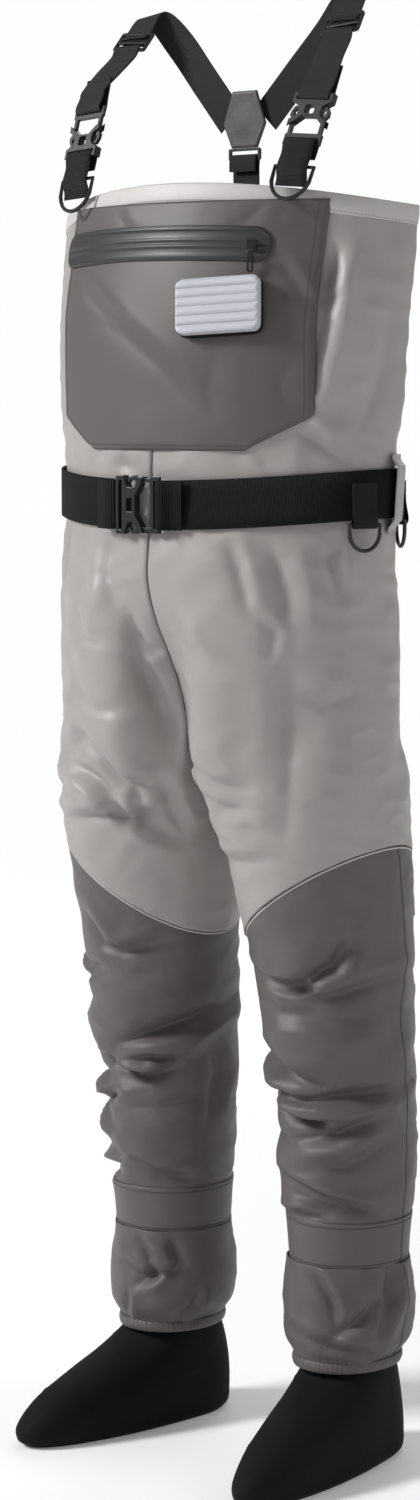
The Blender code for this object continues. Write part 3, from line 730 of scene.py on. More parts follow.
def mesh_object(name: str, vertices: Array, faces: list, finish: Finish) -> Piece:
    """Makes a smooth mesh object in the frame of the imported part.

    Args:
        name: object name.
        vertices: points in the pattern's own frame.
        faces: index tuples.
        finish: its finish.

    Returns:
        The object.
    """
    mesh = bpy.data.meshes.new(name)
    placed = np.asarray(vertices, float).reshape(-1, 3) + np.array(TO_FRAME)
    mesh.from_pydata(placed.tolist(), [], faces)
    mesh.validate()
    mesh.shade_smooth()
    mesh.materials.append(finish.material())
    obj = bpy.data.objects.new(name, mesh)
    bpy.context.scene.collection.objects.link(obj)
    return obj


def grid_faces(rows: int, columns: int, ring: bool, first: int = 0) -> list:
    """Quads over a grid of vertices stored row by row.

    Args:
        rows: number of rows.
        columns: number of columns.
        ring: whether the columns close.
        first: index of the first vertex.

    Returns:
        The faces.
    """
    faces = []
    for r in range(rows - 1):
        for c in range(columns if ring else columns - 1):
            n = (c + 1) % columns
            faces.append((first + r * columns + c, first + (r + 1) * columns + c,
                          first + (r + 1) * columns + n, first + r * columns + n))
    return faces


def tube_faces(count: int, rings: int, first: int = 0, closed: bool = False) -> list:
    """Quads over rings of vertices, with a flat cap on each end of an open tube.

    Args:
        count: vertices in a ring.
        rings: number of rings.
        first: index of the first vertex.
        closed: whether the last ring joins the first.

    Returns:
        The faces.
    """
    faces = []
    for r in range(rings if closed else rings - 1):
        here, there = first + r * count, first + (r + 1) % rings * count
        for c in range(count):
            n = (c + 1) % count
            faces.append((here + c, here + n, there + n, there + c))
    if not closed:
        last = first + (rings - 1) * count
        faces.append(tuple(range(first, first + count))[::-1])
        faces.append(tuple(range(last, last + count)))
    return faces


def face_front(obj: Piece) -> None:
    """Turns an open sheet's faces to the front."""
    if sum(p.normal.y * p.area for p in obj.data.polygons) > 0:
        obj.data.flip_normals()


def apply_modifiers(obj: Piece) -> None:
    """Bakes an object's modifiers into its mesh.

    Args:
        obj: the piece.
    """
    graph = bpy.context.evaluated_depsgraph_get()
    mesh = bpy.data.meshes.new_from_object(obj.evaluated_get(graph))
    obj.modifiers.clear()
    obj.data = mesh


def thicken(obj: Piece, thick: float, outward: bool) -> None:
    """Gives a sheet its cloth thickness.

    Args:
        obj: the sheet.
        thick: thickness in metres.
        outward: whether it grows outwards.
    """
    solidify = obj.modifiers.new("cloth", "SOLIDIFY")
    solidify.thickness = thick
    solidify.offset = 1.0 if outward else -1.0
    apply_modifiers(obj)


def orient_out(obj: Piece, centre: Vector) -> None:
    """Makes the faces agree, and turns them away from an upright line through a point.

    Args:
        obj: the piece.
        centre: the point.
    """
    shape = bmesh.new()
    shape.from_mesh(obj.data)
    bmesh.ops.recalc_face_normals(shape, faces=shape.faces[:])
    shape.to_mesh(obj.data)
    shape.free()
    total = sum((p.center - Vector((centre.x, centre.y, p.center.z))).dot(p.normal) * p.area
                for p in obj.data.polygons)
    if total < 0:
        obj.data.flip_normals()


def settle(obj: Piece, finish: Finish, *nodes: str, body: str = GARMENT) -> Piece:
    """Hangs a piece on its body and hides the nodes that it stands for.

    Args:
        obj: the piece.
        finish: its finish, not used.
        nodes: the nodes that it replaces.
        body: the body it moves with.

    Returns:
        The piece.
    """
    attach(obj, body)
    if nodes:
        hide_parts(*nodes)
    LOG.info("%s: %d faces", obj.name, len(obj.data.polygons))
    return obj


def smooth_path(points: Sequence[Vector], count: int) -> list[Vector]:
    """Points on a smooth curve through the given ones.

    Args:
        points: the given points.
        count: number of points to make.

    Returns:
        The points.
    """
    result = []
    last = len(points) - 1
    for i in range(count):
        place = last * i / (count - 1)
        k = min(int(place), last - 1)
        s = place - k
        p0, p1 = points[max(k - 1, 0)], points[k]
        p2, p3 = points[k + 1], points[min(k + 2, last)]
        m1, m2 = (p2 - p0) / 2, (p3 - p1) / 2
        result.append(p1 * (2 * s**3 - 3 * s**2 + 1) + m1 * (s**3 - 2 * s**2 + s)
                      + p2 * (3 * s**2 - 2 * s**3) + m2 * (s**3 - s**2))
    return result


@dataclass
class Ribbon:
    """Webbing with rounded selvedges along a path.

    Args:
        name: piece name.
        path: points of the middle line.
        across: direction of the width at each point.
        width: width of the webbing.
        thick: its thickness.
        finish: its finish.
    """

    name: str
    path: Sequence[Vector]
    across: Sequence[Vector]
    width: float
    thick: float
    finish: Finish

    def build(self) -> Piece:
        """Sweeps the section and stores the distance along the run for the ribs.

        Returns:
            The mesh object.
        """
        section = self._section()
        count = len(section)
        points, runs, run = [], [], 0.0
        for i, (spot, wide) in enumerate(zip(self.path, self.across)):
            ahead = self.path[min(i + 1, len(self.path) - 1)] - self.path[max(i - 1, 0)]
            x = wide.normalized()
            z = x.cross(ahead.normalized()).normalized()
            if i:
                run += (spot - self.path[i - 1]).length
            points += [tuple(spot + x * u + z * v) for u, v in section]
            runs += [run] * count
        faces = tube_faces(count, len(self.path))
        obj = mesh_object(self.name, np.array(points), faces, self.finish)
        attribute = obj.data.attributes.new("run", "FLOAT", "POINT")
        attribute.data.foreach_set("value", np.array(runs, np.float32))
        obj.data.set_sharp_from_angle(angle=math.radians(60))
        return obj

    def _section(self) -> list[tuple[float, float]]:
        """The outline of a cut across the webbing."""
        half, deep = self.width / 2, self.thick / 2
        side = [(half * u, deep) for u in (-0.97, -0.5, 0.0, 0.5, 0.97)]
        return side + [(half, 0.0)] + [(-u, -v) for u, v in side] + [(-half, 0.0)]


@dataclass
class Stitching:
    """A row of stitches laid along a path as short round threads.

    Args:
        name: piece name.
        path: dense points just above the fabric.
        finish: thread finish.
        pitch: distance from stitch to stitch.
        share: share of the pitch that a stitch covers.
        radius: thread radius.
    """

    name: str
    path: Array
    finish: Finish
    pitch: float = 0.0034
    share: float = 0.62
    radius: float = 0.00032

    def build(self) -> Piece:
        """Makes all stitches as one mesh.

        Returns:
            The mesh object.
        """
        path = np.asarray(self.path, float)
        steps = np.linalg.norm(np.diff(path, axis=0), axis=1)
        where = np.concatenate([[0.0], np.cumsum(steps)])
        vertices, faces = [], []
        for k in range(int(where[-1] / self.pitch)):
            ends = np.array([k * self.pitch, (k + self.share) * self.pitch])
            spots = [Vector([np.interp(e, where, path[:, axis]) for axis in range(3)]) for e in ends]
            self._thread(spots[0], spots[1], vertices, faces)
        return mesh_object(self.name, np.array(vertices), faces, self.finish)

    def _thread(self, a: Vector, b: Vector, vertices: list, faces: list) -> None:
        """Adds one stitch between two points.

        Args:
            a: where the stitch comes up.
            b: where it goes down.
            vertices: list that its vertices join.
            faces: list that its faces join.
        """
        along = (b - a).normalized()
        side = along.cross(Vector((0.3, 0.5, 0.8))).normalized()
        other = along.cross(side)
        first = len(vertices)
        for share, size in ((0.0, 0.35), (0.2, 1.0), (0.8, 1.0), (1.0, 0.35)):
            centre = a.lerp(b, share)
            for i in range(THREAD_SIDES):
                turn = 2 * math.pi * i / THREAD_SIDES
                ring = (side * math.cos(turn) + other * math.sin(turn)) * self.radius * size
                vertices.append(tuple(centre + ring))
        faces.extend(tube_faces(THREAD_SIDES, 4, first))


@dataclass
class Cord:
    """A thin raised seam that follows a path on the fabric.

    Args:
        name: piece name.
        path: points on the surface.
        normals: outward directions at the points.
        finish: its finish.
        wide: half width along the surface.
        tall: half height off the surface.
        closed: whether the path joins its own start.
    """

    name: str
    path: Array
    normals: Array
    finish: Finish
    wide: float = 0.0011
    tall: float = 0.0006
    closed: bool = False

    def build(self) -> Piece:
        """Sweeps a flat oval along the path.

        Returns:
            The mesh object.
        """
        path = np.asarray(self.path, float)
        ahead = np.roll(path, -1, axis=0) - np.roll(path, 1, axis=0) if self.closed else np.gradient(path,
                                                                                                     axis=0)
        side = np.cross(ahead, self.normals)
        side /= np.maximum(np.linalg.norm(side, axis=1, keepdims=True), 1e-9)
        rings = []
        for i in range(CORD_SIDES):
            turn = 2 * math.pi * i / CORD_SIDES
            rings.append(path + side * math.cos(turn) * self.wide + self.normals * math.sin(turn) * self.tall)
        points = np.stack(rings, axis=1)
        faces = tube_faces(CORD_SIDES, len(path), closed=self.closed)
        return settle(mesh_object(self.name, points, faces, self.finish), self.finish)


# --------------------------------------------------------------------------- garment shell


@dataclass
class Drape:
    """Folds and unevenness of a fabric tube, shared by the pieces that touch.

    Args:
        sheets: fold drawings by heading.
        broad: height of slow waves.
        fine: height of small creases.
        seed: shifts the unevenness.
    """

    sheets: tuple[FoldSheet, ...]
    broad: float = 0.0022
    fine: float = 0.0013
    seed: float = 1.0

    def relief(self, points: Array, normals: Array) -> Array:
        """Outward displacement of surface points.

        Args:
            points: points on the surface.
            normals: outward directions.

        Returns:
            Displacements.
        """
        stretched = points * np.array((1.0, 1.0, 0.62))
        total = sum(sheet.height(points, normals) for sheet in self.sheets)
        total = total + self.broad * soft_noise(stretched, 0.075, self.seed)
        return total + self.fine * soft_noise(points * np.array((1.0, 1.0, 1.5)), 0.042, self.seed + 5,
                                              ridged=True)


@dataclass
class UpperHalf:
    """One half of the light body with its thigh, from the hem down to the slanted knee seam.

    Args:
        side: wearer's side.
        columns: grid columns from the front seam to the back seam.
        rows: grid rows on the body.
        inner: grid columns over the inner thigh.
        leg_rows: grid rows on the thigh.
        cloth: thickness of the fabric.
    """

    side: Side
    columns: int = 112
    rows: int = 150
    inner: int = 40
    leg_rows: int = 66
    cloth: float = CLOTH

    def build(self) -> Piece:
        """Lofts the half body into the thigh, lays the folds on and thickens the cloth.

        Returns:
            The piece.
        """
        torso, turns = self._torso()
        thigh = self._thigh(torso[-1], turns)
        torso = self._fold(torso, False)
        thigh = self._fold(thigh, True)
        torso[-1] = thigh[0, : self.columns]
        torso[-2] = (torso[-2] * 2 + torso[-1] + torso[-3]) / 4
        count = torso.shape[0] * self.columns
        ring = self.columns + self.inner
        self._seams(torso)
        faces = grid_faces(torso.shape[0], self.columns, False)
        first = [(torso.shape[0] - 1) * self.columns + i for i in range(self.columns)]
        top = first + [count + i for i in range(self.inner)]
        below = count + self.inner
        for c in range(ring):
            n = (c + 1) % ring
            faces.append((top[c], below + c, below + n, top[n]))
        faces += grid_faces(thigh.shape[0] - 1, ring, True, below)
        vertices = np.concatenate([torso.reshape(-1, 3), thigh[0, self.columns :], thigh[1:].reshape(-1, 3)])
        vertices[:, 0] = self.side.value * np.maximum(self.side.value * vertices[:, 0], 0.00015)
        obj = mesh_object(f"body_{self.side.word}_fabric", vertices, faces, LIGHT_SHELL)
        orient_out(obj, Vector((self.side.value * 0.08, FORWARD, 0.0)))
        thicken(obj, self.cloth, False)
        settle(obj, LIGHT_SHELL, f"upper_{self.side.word}_panel")
        return obj

    def _seams(self, torso: Array) -> None:
        """Raised stitching on the centre seams in front and behind, made with the left half only; its dark
        thread also paints the shade along the seams.

        Args:
            torso: the folded grid of the half body.
        """
        if self.side is Side.RIGHT:
            return
        for word, column, facing in (("front", 0, -1.0), ("rear", self.columns - 1, 1.0)):
            path = torso[3:-2, column].copy()
            path[:, 0] = 0.0
            outward = np.zeros_like(path)
            outward[:, 1] = facing
            # Dark thread on the light fabric: the raised stitching is real, and its darkness is a painted
            # shade along the seam.
            Cord(f"centre_seam_{word}", path, outward, DARK_THREAD, 0.0007, 0.0007).build()

    def _torso(self) -> tuple[Array, Array]:
        """Grid of the half body above the crotch, and its turns.

        Returns:
            The grid and its turns.
        """
        turns = np.linspace(0.0, math.pi, self.columns)
        top = collar_top(turns) - HEM_BAND + 0.003
        steps = np.linspace(0.0, 1.0, self.rows)[:, None]
        heights = top + (CROTCH_Z - top) * steps
        points = body_point(np.broadcast_to(turns, heights.shape), heights)
        drop = ease((0.935 - heights) / 0.165)
        cleft = np.exp(-((points[..., 0] / 0.034) ** 2)) * drop
        points[..., 1] += cleft * np.where(np.cos(turns) > 0, 0.050, -0.022)
        points[..., 0] *= self.side.value
        return points, turns

    def _thigh(self, ring: Array, turns: Array) -> Array:
        """Grid of the thigh, whose first row joins the body and the crotch.

        Args:
            ring: the body's last row.
            turns: its turns.

        Returns:
            The grid.
        """
        share = np.arange(1, self.inner + 1) / (self.inner + 1)
        y = ring[-1, 1] + (ring[0, 1] - ring[-1, 1]) * share
        dip = CROTCH_Z - CROTCH_DIP * np.sin(math.pi * share)
        crotch = np.stack([np.full(self.inner, self.side.value * 0.0002), y, dip], -1)
        first = np.concatenate([ring, crotch])
        angles = (turns - math.pi / 2) * 1.62
        gap = (2 * math.pi - (angles[-1] - angles[0])) / (self.inner + 1)
        angles = np.concatenate([angles, angles[-1] + gap * np.arange(1, self.inner + 1)])
        rows = [first]
        for step in np.linspace(0.0, 1.0, self.leg_rows)[1:]:
            heights = first[:, 2] + (knee_seam(angles) - first[:, 2]) * step
            target = leg_point(self.side, angles, heights)
            blend = ease(np.full(len(angles), step * 1.9))[:, None]
            start = np.stack([first[:, 0], first[:, 1], heights], -1)
            row = start + (target - start) * blend
            floor = 0.0004 + 0.004 * min(1.0, step * 6)
            row[:, 0] = self.side.value * np.maximum(self.side.value * row[:, 0], floor)
            rows.append(row)
        return np.array(rows)

    def _fold(self, points: Array, ring: bool) -> Array:
        """Moves a grid out and in by the folds, calm near the belt, the centre seams and the chest pocket.

        Args:
            points: the smooth grid.
            ring: whether its columns close.

        Returns:
            The folded grid.
        """
        normals = grid_normals(points, ring)
        marks = THIGH_LEFT if self.side is Side.LEFT else THIGH_RIGHT
        drape = Drape((FoldSheet(FOLD_HEADING, marks + CHEST), FoldSheet(FOLD_HEADING + 180.0, BACK_HIPS),
                       FoldSheet(-60.0, mirrored(THIGH_LEFT, 0.02)[:6])), seed=2.0)
        relief = drape.relief(points, normals)
        height, x = points[..., 2], np.abs(points[..., 0])
        belt = np.exp(-(((height - BELT_Z) / 0.026) ** 4))
        hem = np.exp(-((np.maximum(0.0, height - 1.235)) / 0.03) ** 2)
        pocket = ease((height - 1.02) / 0.03) * ease((0.165 - x) / 0.02) * (points[..., 1] < 0)
        relief = relief * (1 - belt) * hem * (1 - 0.85 * pocket) - 0.0012 * belt
        waist = np.exp(-(((np.abs(height - BELT_Z) - 0.040) / 0.018) ** 2))
        relief = relief + 0.0030 * waist * soft_noise(points * np.array((1.0, 1.0, 0.25)), 0.026, 9.0)
        seam = np.exp(-((x / 0.004) ** 2)) * (height > CROTCH_Z - 0.03)
        calm = np.exp(-((x / 0.020) ** 2)) * (height > CROTCH_Z - 0.05)
        relief = relief * (1 - 0.6 * calm) - 0.0009 * seam
        return points + normals * np.clip(relief, DEEPEST_FOLD, 0.0095)[..., None]


@dataclass
class LowerLeg:
    """The dark shin panel, the calf band and the gravel guard of one leg.

    Args:
        side: wearer's side.
        columns: grid columns round the leg.
        cloth: thickness of the fabric.
    """

    side: Side
    columns: int = 150
    cloth: float = CLOTH

    def build(self) -> list[Piece]:
        """Makes all pieces of the lower leg.

        Returns:
            The pieces.
        """
        word = self.side.word
        angles = round_turns(self.columns)
        seam = knee_seam(angles)
        flat = np.zeros(self.columns)
        return [
            self._tube(f"shin_{word}_fabric", seam + 0.0004, flat + BAND_TOP, 120, f"shin_{word}_panel", 0.0),
            self._tube(f"calf_{word}_band_fabric", flat + BAND_TOP + 0.003, flat + BAND_BOTTOM - 0.002, 22,
                       f"calf_{word}_band", 0.0012),
            self._tube(f"gravel_guard_{word}", flat + BAND_BOTTOM, flat + GUARD_HEM + 0.008, 54,
                       f"guard_{word}", 0.0020),
            self._hem(),
        ]

    def _tube(self, name: str, top: Array, bottom: Array, rows: int, node: str,
              out: float) -> Piece:
        """A folded tube between two edges.

        Args:
            name: piece name.
            top: height of the upper edge at each column.
            bottom: height of the lower edge.
            rows: grid rows.
            node: the node it stands for.
            out: distance off the leg.

        Returns:
            The piece.
        """
        angles = round_turns(self.columns)
        steps = np.linspace(0.0, 1.0, rows)[:, None]
        heights = top + (bottom - top) * steps
        points = leg_point(self.side, np.broadcast_to(angles, heights.shape), heights, out)
        normals = grid_normals(points, True)
        left = self.side is Side.LEFT
        front = (SHIN_LEFT + GUARD_LEFT) if left else (SHIN_RIGHT + GUARD_RIGHT)
        other = mirrored(SHIN_RIGHT if left else SHIN_LEFT, -0.015)
        drape = Drape((FoldSheet(FOLD_HEADING, front), FoldSheet(180.0, BACK_LEGS), FoldSheet(-55.0, other)),
                      broad=0.0026, fine=0.0012, seed=4.0 + self.side.value)
        relief = drape.relief(points, normals)
        calm = 1.0
        if "band" in name:
            calm = 0.22
        elif "guard" in name:
            share = (heights - bottom) / (top - bottom)
            gather = ease(1 - share / 0.30)
            puff = np.sin(math.pi * np.clip(share, 0.0, 1.0)) * 0.0045
            relief = relief + puff - 0.008 * gather**2 + self._gathers(angles, share)
        else:
            calm = ease((top - heights) / 0.02) * ease((heights - bottom) / 0.012)
        relief = np.clip(relief * calm, DEEPEST_FOLD, 0.0090)
        points = points + normals * relief[..., None]
        self._trim(name, points, grid_normals(points, True))
        obj = mesh_object(name, points, grid_faces(rows, self.columns, True), DARK_SHELL)
        orient_out(obj, leg_axis(self.side))
        thicken(obj, self.cloth, False)
        settle(obj, DARK_SHELL, node)
        return obj

    def _trim(self, name: str, points: Array, normals: Array) -> None:
        """Adds the seams of a tube: the side seam, and the pale taped edge under the thigh.

        Args:
            name: name of the tube.
            points: its folded grid.
            normals: outward directions.
        """
        column = round(self.columns * 8 / 360)
        Cord(f"{name}_side_seam", points[1:-1, column], normals[1:-1, column], DARK_THREAD, 0.0008,
             0.0005).build()
        if "shin" in name:
            Cord(f"{name}_taped_edge", points[1], normals[1], PALE_TAPE, 0.0009, 0.0006, closed=True).build()
        if "band" in name:
            for row in (2, len(points) - 3):
                Cord(f"{name}_seam_{row}", points[row], normals[row], DARK_THREAD, 0.0006, 0.0004,
                     closed=True).build()

    def _gathers(self, angles: Array, share: Array) -> Array:
        """Small radial pleats where the guard is drawn in, strongest at the heel.

        Args:
            angles: angles round the leg.
            share: share of the way up the guard.

        Returns:
            Displacements.
        """
        heel = 0.35 + 0.65 * np.exp(-(((angles - math.pi / 2) / 0.8) ** 2))
        return 0.0011 * heel * np.cos(46 * angles + 1.5 * np.sin(3 * angles)) * ease(1 - share / 0.35)

    def _hem(self) -> Piece:
        """The elastic hem of the guard, gathered in small pleats.

        Returns:
            The piece.
        """
        angles = round_turns(4 * self.columns)
        heights = np.linspace(GUARD_HEM + 0.011, GUARD_HEM, 9)[:, None] + np.zeros(len(angles))
        points = leg_point(self.side, np.broadcast_to(angles, heights.shape), heights, -0.0045)
        normals = grid_normals(points, True)
        heel = 0.30 + 0.70 * np.exp(-(((angles - math.pi / 2) / 0.9) ** 2))
        pleat = 0.0013 * heel * np.abs(np.sin(32 * angles + np.sin(5 * angles)))
        roll = 0.0014 * np.sin(math.pi * np.linspace(0.0, 1.0, 9))[:, None]
        points = points + normals * (pleat + roll)[..., None]
        name = f"guard_{self.side.word}_elastic_hem"
        obj = mesh_object(name, points, grid_faces(9, len(angles), True), DARK_SHELL)
        orient_out(obj, leg_axis(self.side))
        thicken(obj, 0.0012, False)
        settle(obj, DARK_SHELL, f"guard_{self.side.word}_hem")
        return obj


@dataclass
class Bootie:
    """A neoprene sock foot.

    Args:
        side: wearer's side.
        toe_out: turn of the toes away from the middle, in degrees.
        ankle: place of the ankle's axis.
        columns: grid columns round the foot.
        rows: grid rows from the ankle to the sole.
        neoprene: thickness of the wall.
    """

    side: Side
    toe_out: float = 8.0
    ankle: tuple[float, float] = (0.1195, 0.041)
    columns: int = 110
    rows: int = 90
    neoprene: float = 0.004

    def build(self) -> Piece:
        """Lofts the foot from level outlines and closes the sole.

        Returns:
            The piece.
        """
        heights = 0.150 * (1 - np.linspace(0.0, 1.0, self.rows)) ** 1.15
        turns = round_turns(self.columns)
        rows = [self._outline(height, turns) for height in heights]
        centre = rows[-1].mean(axis=0)
        for share in (0.8, 0.5, 0.2):
            rows.append(centre + (rows[self.rows - 1] - centre) * share)
        points = np.array(rows)
        spin = math.radians(self.toe_out * self.side.value)
        x, y = points[..., 0].copy(), points[..., 1].copy()
        points[..., 0] = x * math.cos(spin) - y * math.sin(spin) + self.side.value * self.ankle[0]
        points[..., 1] = x * math.sin(spin) + y * math.cos(spin) + self.ankle[1]
        normals = grid_normals(points, True)
        lift = ease(points[..., 2] / 0.02)
        relief = 0.0012 * soft_noise(points, 0.05, 3.0) * lift + self._seams(points) * lift
        points = points + normals * relief[..., None]
        points[..., 2] = np.maximum(points[..., 2], 0.0)
        faces = grid_faces(len(rows), self.columns, True)
        faces.append(tuple((len(rows) - 1) * self.columns + i for i in range(self.columns)))
        obj = mesh_object(f"sock_foot_{self.side.word}", points, faces, SOCK)
        orient_out(obj, Vector((self.side.value * self.ankle[0], FORWARD + self.ankle[1], 0.0)))
        thicken(obj, self.neoprene, False)
        return settle(obj, SOCK, f"bootie_{self.side.word}")

    def _outline(self, height: float, turns: Array) -> Array:
        """One level outline of the foot, toe towards -Y.

        Args:
            height: its height.
            turns: angles round it.

        Returns:
            Points.
        """
        reach, heel, half = FOOT.read(np.array(height))
        cosine, sine = np.cos(turns), np.sin(turns)
        x = half * np.sign(cosine) * np.abs(cosine) ** 0.86
        y = np.where(sine > 0, -reach, -heel) * sine
        widen = 1.0 + 0.06 * np.sin(math.pi * np.clip(-y / reach, 0.0, 1.0))
        inner = -self.side.value * x > 0
        pinch = np.where(inner, 0.93, 1.0)
        return np.stack([x * widen * pinch, y, np.full(len(turns), float(height))], -1)

    def _seams(self, points: Array) -> Array:
        """Raised flat seams round the toe box and down the ankle.

        Args:
            points: points on the foot.

        Returns:
            Displacements.
        """
        y = points[..., 1] - self.ankle[1]
        toe = np.exp(-(((y + 0.155 + 0.25 * (points[..., 2] - 0.03)) / 0.0016) ** 2))
        ankle = np.exp(-(((y + 0.030 + 0.8 * (points[..., 2] - 0.06)) / 0.0016) ** 2))
        return 0.0007 * (toe + ankle)


# --------------------------------------------------------------------------- chest


@dataclass
class Collar:
    """The turned hem band round the top edge.

    Args:
        columns: grid columns round the edge.
        rows: grid rows down the band.
        cloth: thickness of the folded fabric.
    """

    columns: int = 420
    rows: int = 14
    cloth: float = 0.0016

    def build(self) -> Piece:
        """Makes the band with a rolled upper edge and its row of stitches.

        Returns:
            The piece.
        """
        turns = round_turns(self.columns)
        steps = np.linspace(0.0, 1.0, self.rows)[:, None]
        heights = collar_top(turns) - 0.0004 - HEM_BAND * steps
        points = body_point(np.broadcast_to(turns, heights.shape), heights, 0.0008)
        normals = grid_normals(points, True)
        roll = 0.0010 * np.sin(math.pi * np.clip(steps, 0.0, 1.0)) - 0.0012 * ease((steps - 0.9) / 0.1)
        wave = 0.0012 * soft_noise(points * np.array((1.0, 1.0, 0.3)), 0.06, 12.0)
        points = points + normals * (roll + wave)[..., None]
        # The band's pale colour is a painted highlight on the light shell fabric.
        obj = mesh_object("collar_hem_band", points, grid_faces(self.rows, self.columns, True), HEM_SHELL_PAINTED_HIGHLIGHT)
        orient_out(obj, Vector(TO_FRAME))
        thicken(obj, self.cloth, False)
        settle(obj, HEM_SHELL_PAINTED_HIGHLIGHT, "collar_hem")
        row = points[self.rows - 3] + normals[self.rows - 3] * 0.0002
        stitches = Stitching("collar_hem_stitches", np.concatenate([row, row[:1]]), THREAD).build()
        return settle(stitches, THREAD)


@dataclass
class ChestPocket:
    """The zipped pocket panel on the chest.

    Args:
        top: height of its upper edge.
        bottom: height of its lower edge.
        shoulder: height where the lower corners are cut off.
        half_top: half width at the top.
        half_shoulder: half width where the corners start.
        half_bottom: half width at the bottom.
        out: distance off the body.
        folds: creases in the panel.
    """

    top: float = 1.2835
    bottom: float = 1.040
    shoulder: float = 1.074
    half_top: float = 0.157
    half_shoulder: float = 0.1485
    half_bottom: float = 0.086
    out: float = 0.0040
    folds: tuple = (
        fold(((30, 1282), (6, 1262), (-12, 1258)), 1.6, 8, 0.8),
        fold(((52, 1275), (40, 1268), (10, 1262)), 1.2, 6, 0.8),
        fold(((40, 1225), (62, 1190), (78, 1180)), 2.2, 7, 0.9),
        fold(((-168, 1215), (-120, 1160), (-75, 1120), (-40, 1075)), 2.2, 12, 0.9),
        fold(((-150, 1225), (-140, 1195), (-118, 1180)), 1.6, 9, -0.8),
        fold(((-20, 1140), (-30, 1100), (-20, 1060)), 1.4, 14, 0.8),
        fold(((60, 1140), (40, 1105), (50, 1072)), 1.6, 11, 0.8),
        fold(((-120, 1278), (-112, 1262), (-100, 1256)), 1.2, 6, 0.8),
    )

    def build(self) -> list[Piece]:
        """Makes the panel and its edge stitches.

        Returns:
            The pieces.
        """
        rows, columns = 96, 130
        heights = np.linspace(self.top, self.bottom, rows)
        cut = np.clip((self.shoulder - heights) / (self.shoulder - self.bottom), 0.0, 1.0)
        fallen = self.top - heights
        half = self.half_top + (self.half_shoulder - self.half_top) * fallen / (self.top - self.shoulder)
        half = np.where(cut > 0, self.half_shoulder + (self.half_bottom - self.half_shoulder) * cut, half)
        share = np.linspace(-1.0, 1.0, columns)
        x = half[:, None] * share + 0.0045 * (1 + share) * (1.0 + 0.8 * (self.top - heights[:, None]) / 0.21)
        height = np.broadcast_to(heights[:, None], x.shape)
        rim = ease((1 - np.abs(share)) / 0.03) * ease((height - self.bottom) / 0.008)
        points = body_point(turn_at(x, height), height, self.out - 0.0020 * (1 - rim))
        normals = grid_normals(points, False)
        if np.sum(normals[..., 1]) > 0:
            normals = -normals
        edge = np.minimum(ease((1 - np.abs(share)) / 0.03), 1.0) * ease((height - self.bottom) / 0.004)
        relief = FoldSheet(FOLD_HEADING, self.folds).height(points, normals) + 0.0009 * soft_noise(points,
                                                                                                   0.05, 7.0)
        relief = np.clip(relief, -0.0016, 0.0030) * edge + 0.0008 * edge
        points = points + normals * relief[..., None]
        obj = mesh_object("chest_pocket_panel", points, grid_faces(rows, columns, False), POCKET_SHELL)
        face_front(obj)
        thicken(obj, CLOTH, False)
        pieces = [settle(obj, POCKET_SHELL, "chest_pocket")]
        inset, lift = 4, 0.0002
        rim = np.concatenate([points[1:-3, inset], points[-3, inset:-inset], points[1:-3, -inset - 1][::-1]])
        rim = rim + np.array((0.0, -lift, 0.0))
        pieces.append(settle(Stitching("pocket_edge_stitches", rim, DARK_THREAD).build(), DARK_THREAD))
        return pieces


def chest_arc(angle: float, height: float, out: float) -> Vector:
    """A point on the chest's arc at an angle in degrees.

    Args:
        angle: degrees from the front.
        height: height in metres.
        out: distance off the arc.

    Returns:
        The point.
    """
    turn = math.radians(angle)
    radius = CHEST_RADIUS + out + (ZIP_Z - height) * CHEST_SLOPE
    _, side_y, front, _, _ = (float(value) for value in BODY.read(np.array(ZIP_Z)))
    return Vector((radius * math.sin(turn), side_y - front + CHEST_RADIUS - radius * math.cos(turn), height))


@dataclass
class ZipWelt:
    """The glossy welt with its two lips and the coil zip between them.

    Args:
        start: angle of its outer end.
        end: angle of its end near the slider.
        width: height of the welt.
        out: distance off the chest's arc.
    """

    start: float = -31.0
    end: float = 24.0
    width: float = 0.034
    out: float = 0.0078

    def build(self) -> list[Piece]:
        """Makes the rounded tape with a raised rim and a closed coil along its middle.

        Returns:
            The pieces.
        """
        columns, rows = 190, 34
        points = np.zeros((rows, columns, 3))
        for c, u in enumerate(np.linspace(0.0, 1.0, columns)):
            angle = self.start + (self.end - self.start) * u
            reach = min(u, 1 - u) * math.radians(self.end - self.start) * CHEST_RADIUS
            radius = self.width / 2
            tuck = 0.0 if reach > radius else radius - math.sqrt(max(0.0, radius**2 - (radius - reach) ** 2))
            for r, v in enumerate(np.linspace(-1.0, 1.0, rows)):
                height = ZIP_Z + v * (radius - 0.86 * tuck) + 0.0035 * math.sin(math.pi * u)
                off = v * (radius - 0.86 * tuck)
                rim = 0.0009 * math.exp(-(((abs(v) - 0.80) / 0.10) ** 2))
                lips = 0.0010 * math.exp(-(((abs(off) - 0.0030) / 0.0018) ** 2))
                lips -= 0.0006 * math.exp(-((off / 0.0008) ** 2))
                fade = min(1.0, reach / 0.006)
                points[r, c] = chest_arc(angle, height, self.out + (rim + lips) * fade - 0.0010)
        obj = mesh_object("chest_zip_welt", points, grid_faces(rows, columns, False), WELT)
        face_front(obj)
        thicken(obj, 0.0012, False)
        welt = settle(obj, WELT, "zip_welt")
        return [welt, self._stitches("upper", 0.0130), self._stitches("lower", -0.0130)]

    def _stitches(self, word: str, rise: float) -> Piece:
        """A row of stitches along the welt.

        Args:
            word: which row, as its name has it.
            rise: its height above the zip.

        Returns:
            The piece.
        """
        span = self.end - self.start - 6
        path = [chest_arc(self.start + 3 + span * u, ZIP_Z + rise + 0.0035 * math.sin(math.pi * u),
                          self.out + 0.0004) for u in np.linspace(0.0, 1.0, 80)]
        stitches = Stitching(f"zip_welt_stitches_{word}", np.array(path), DARK_THREAD).build()
        return settle(stitches, DARK_THREAD)


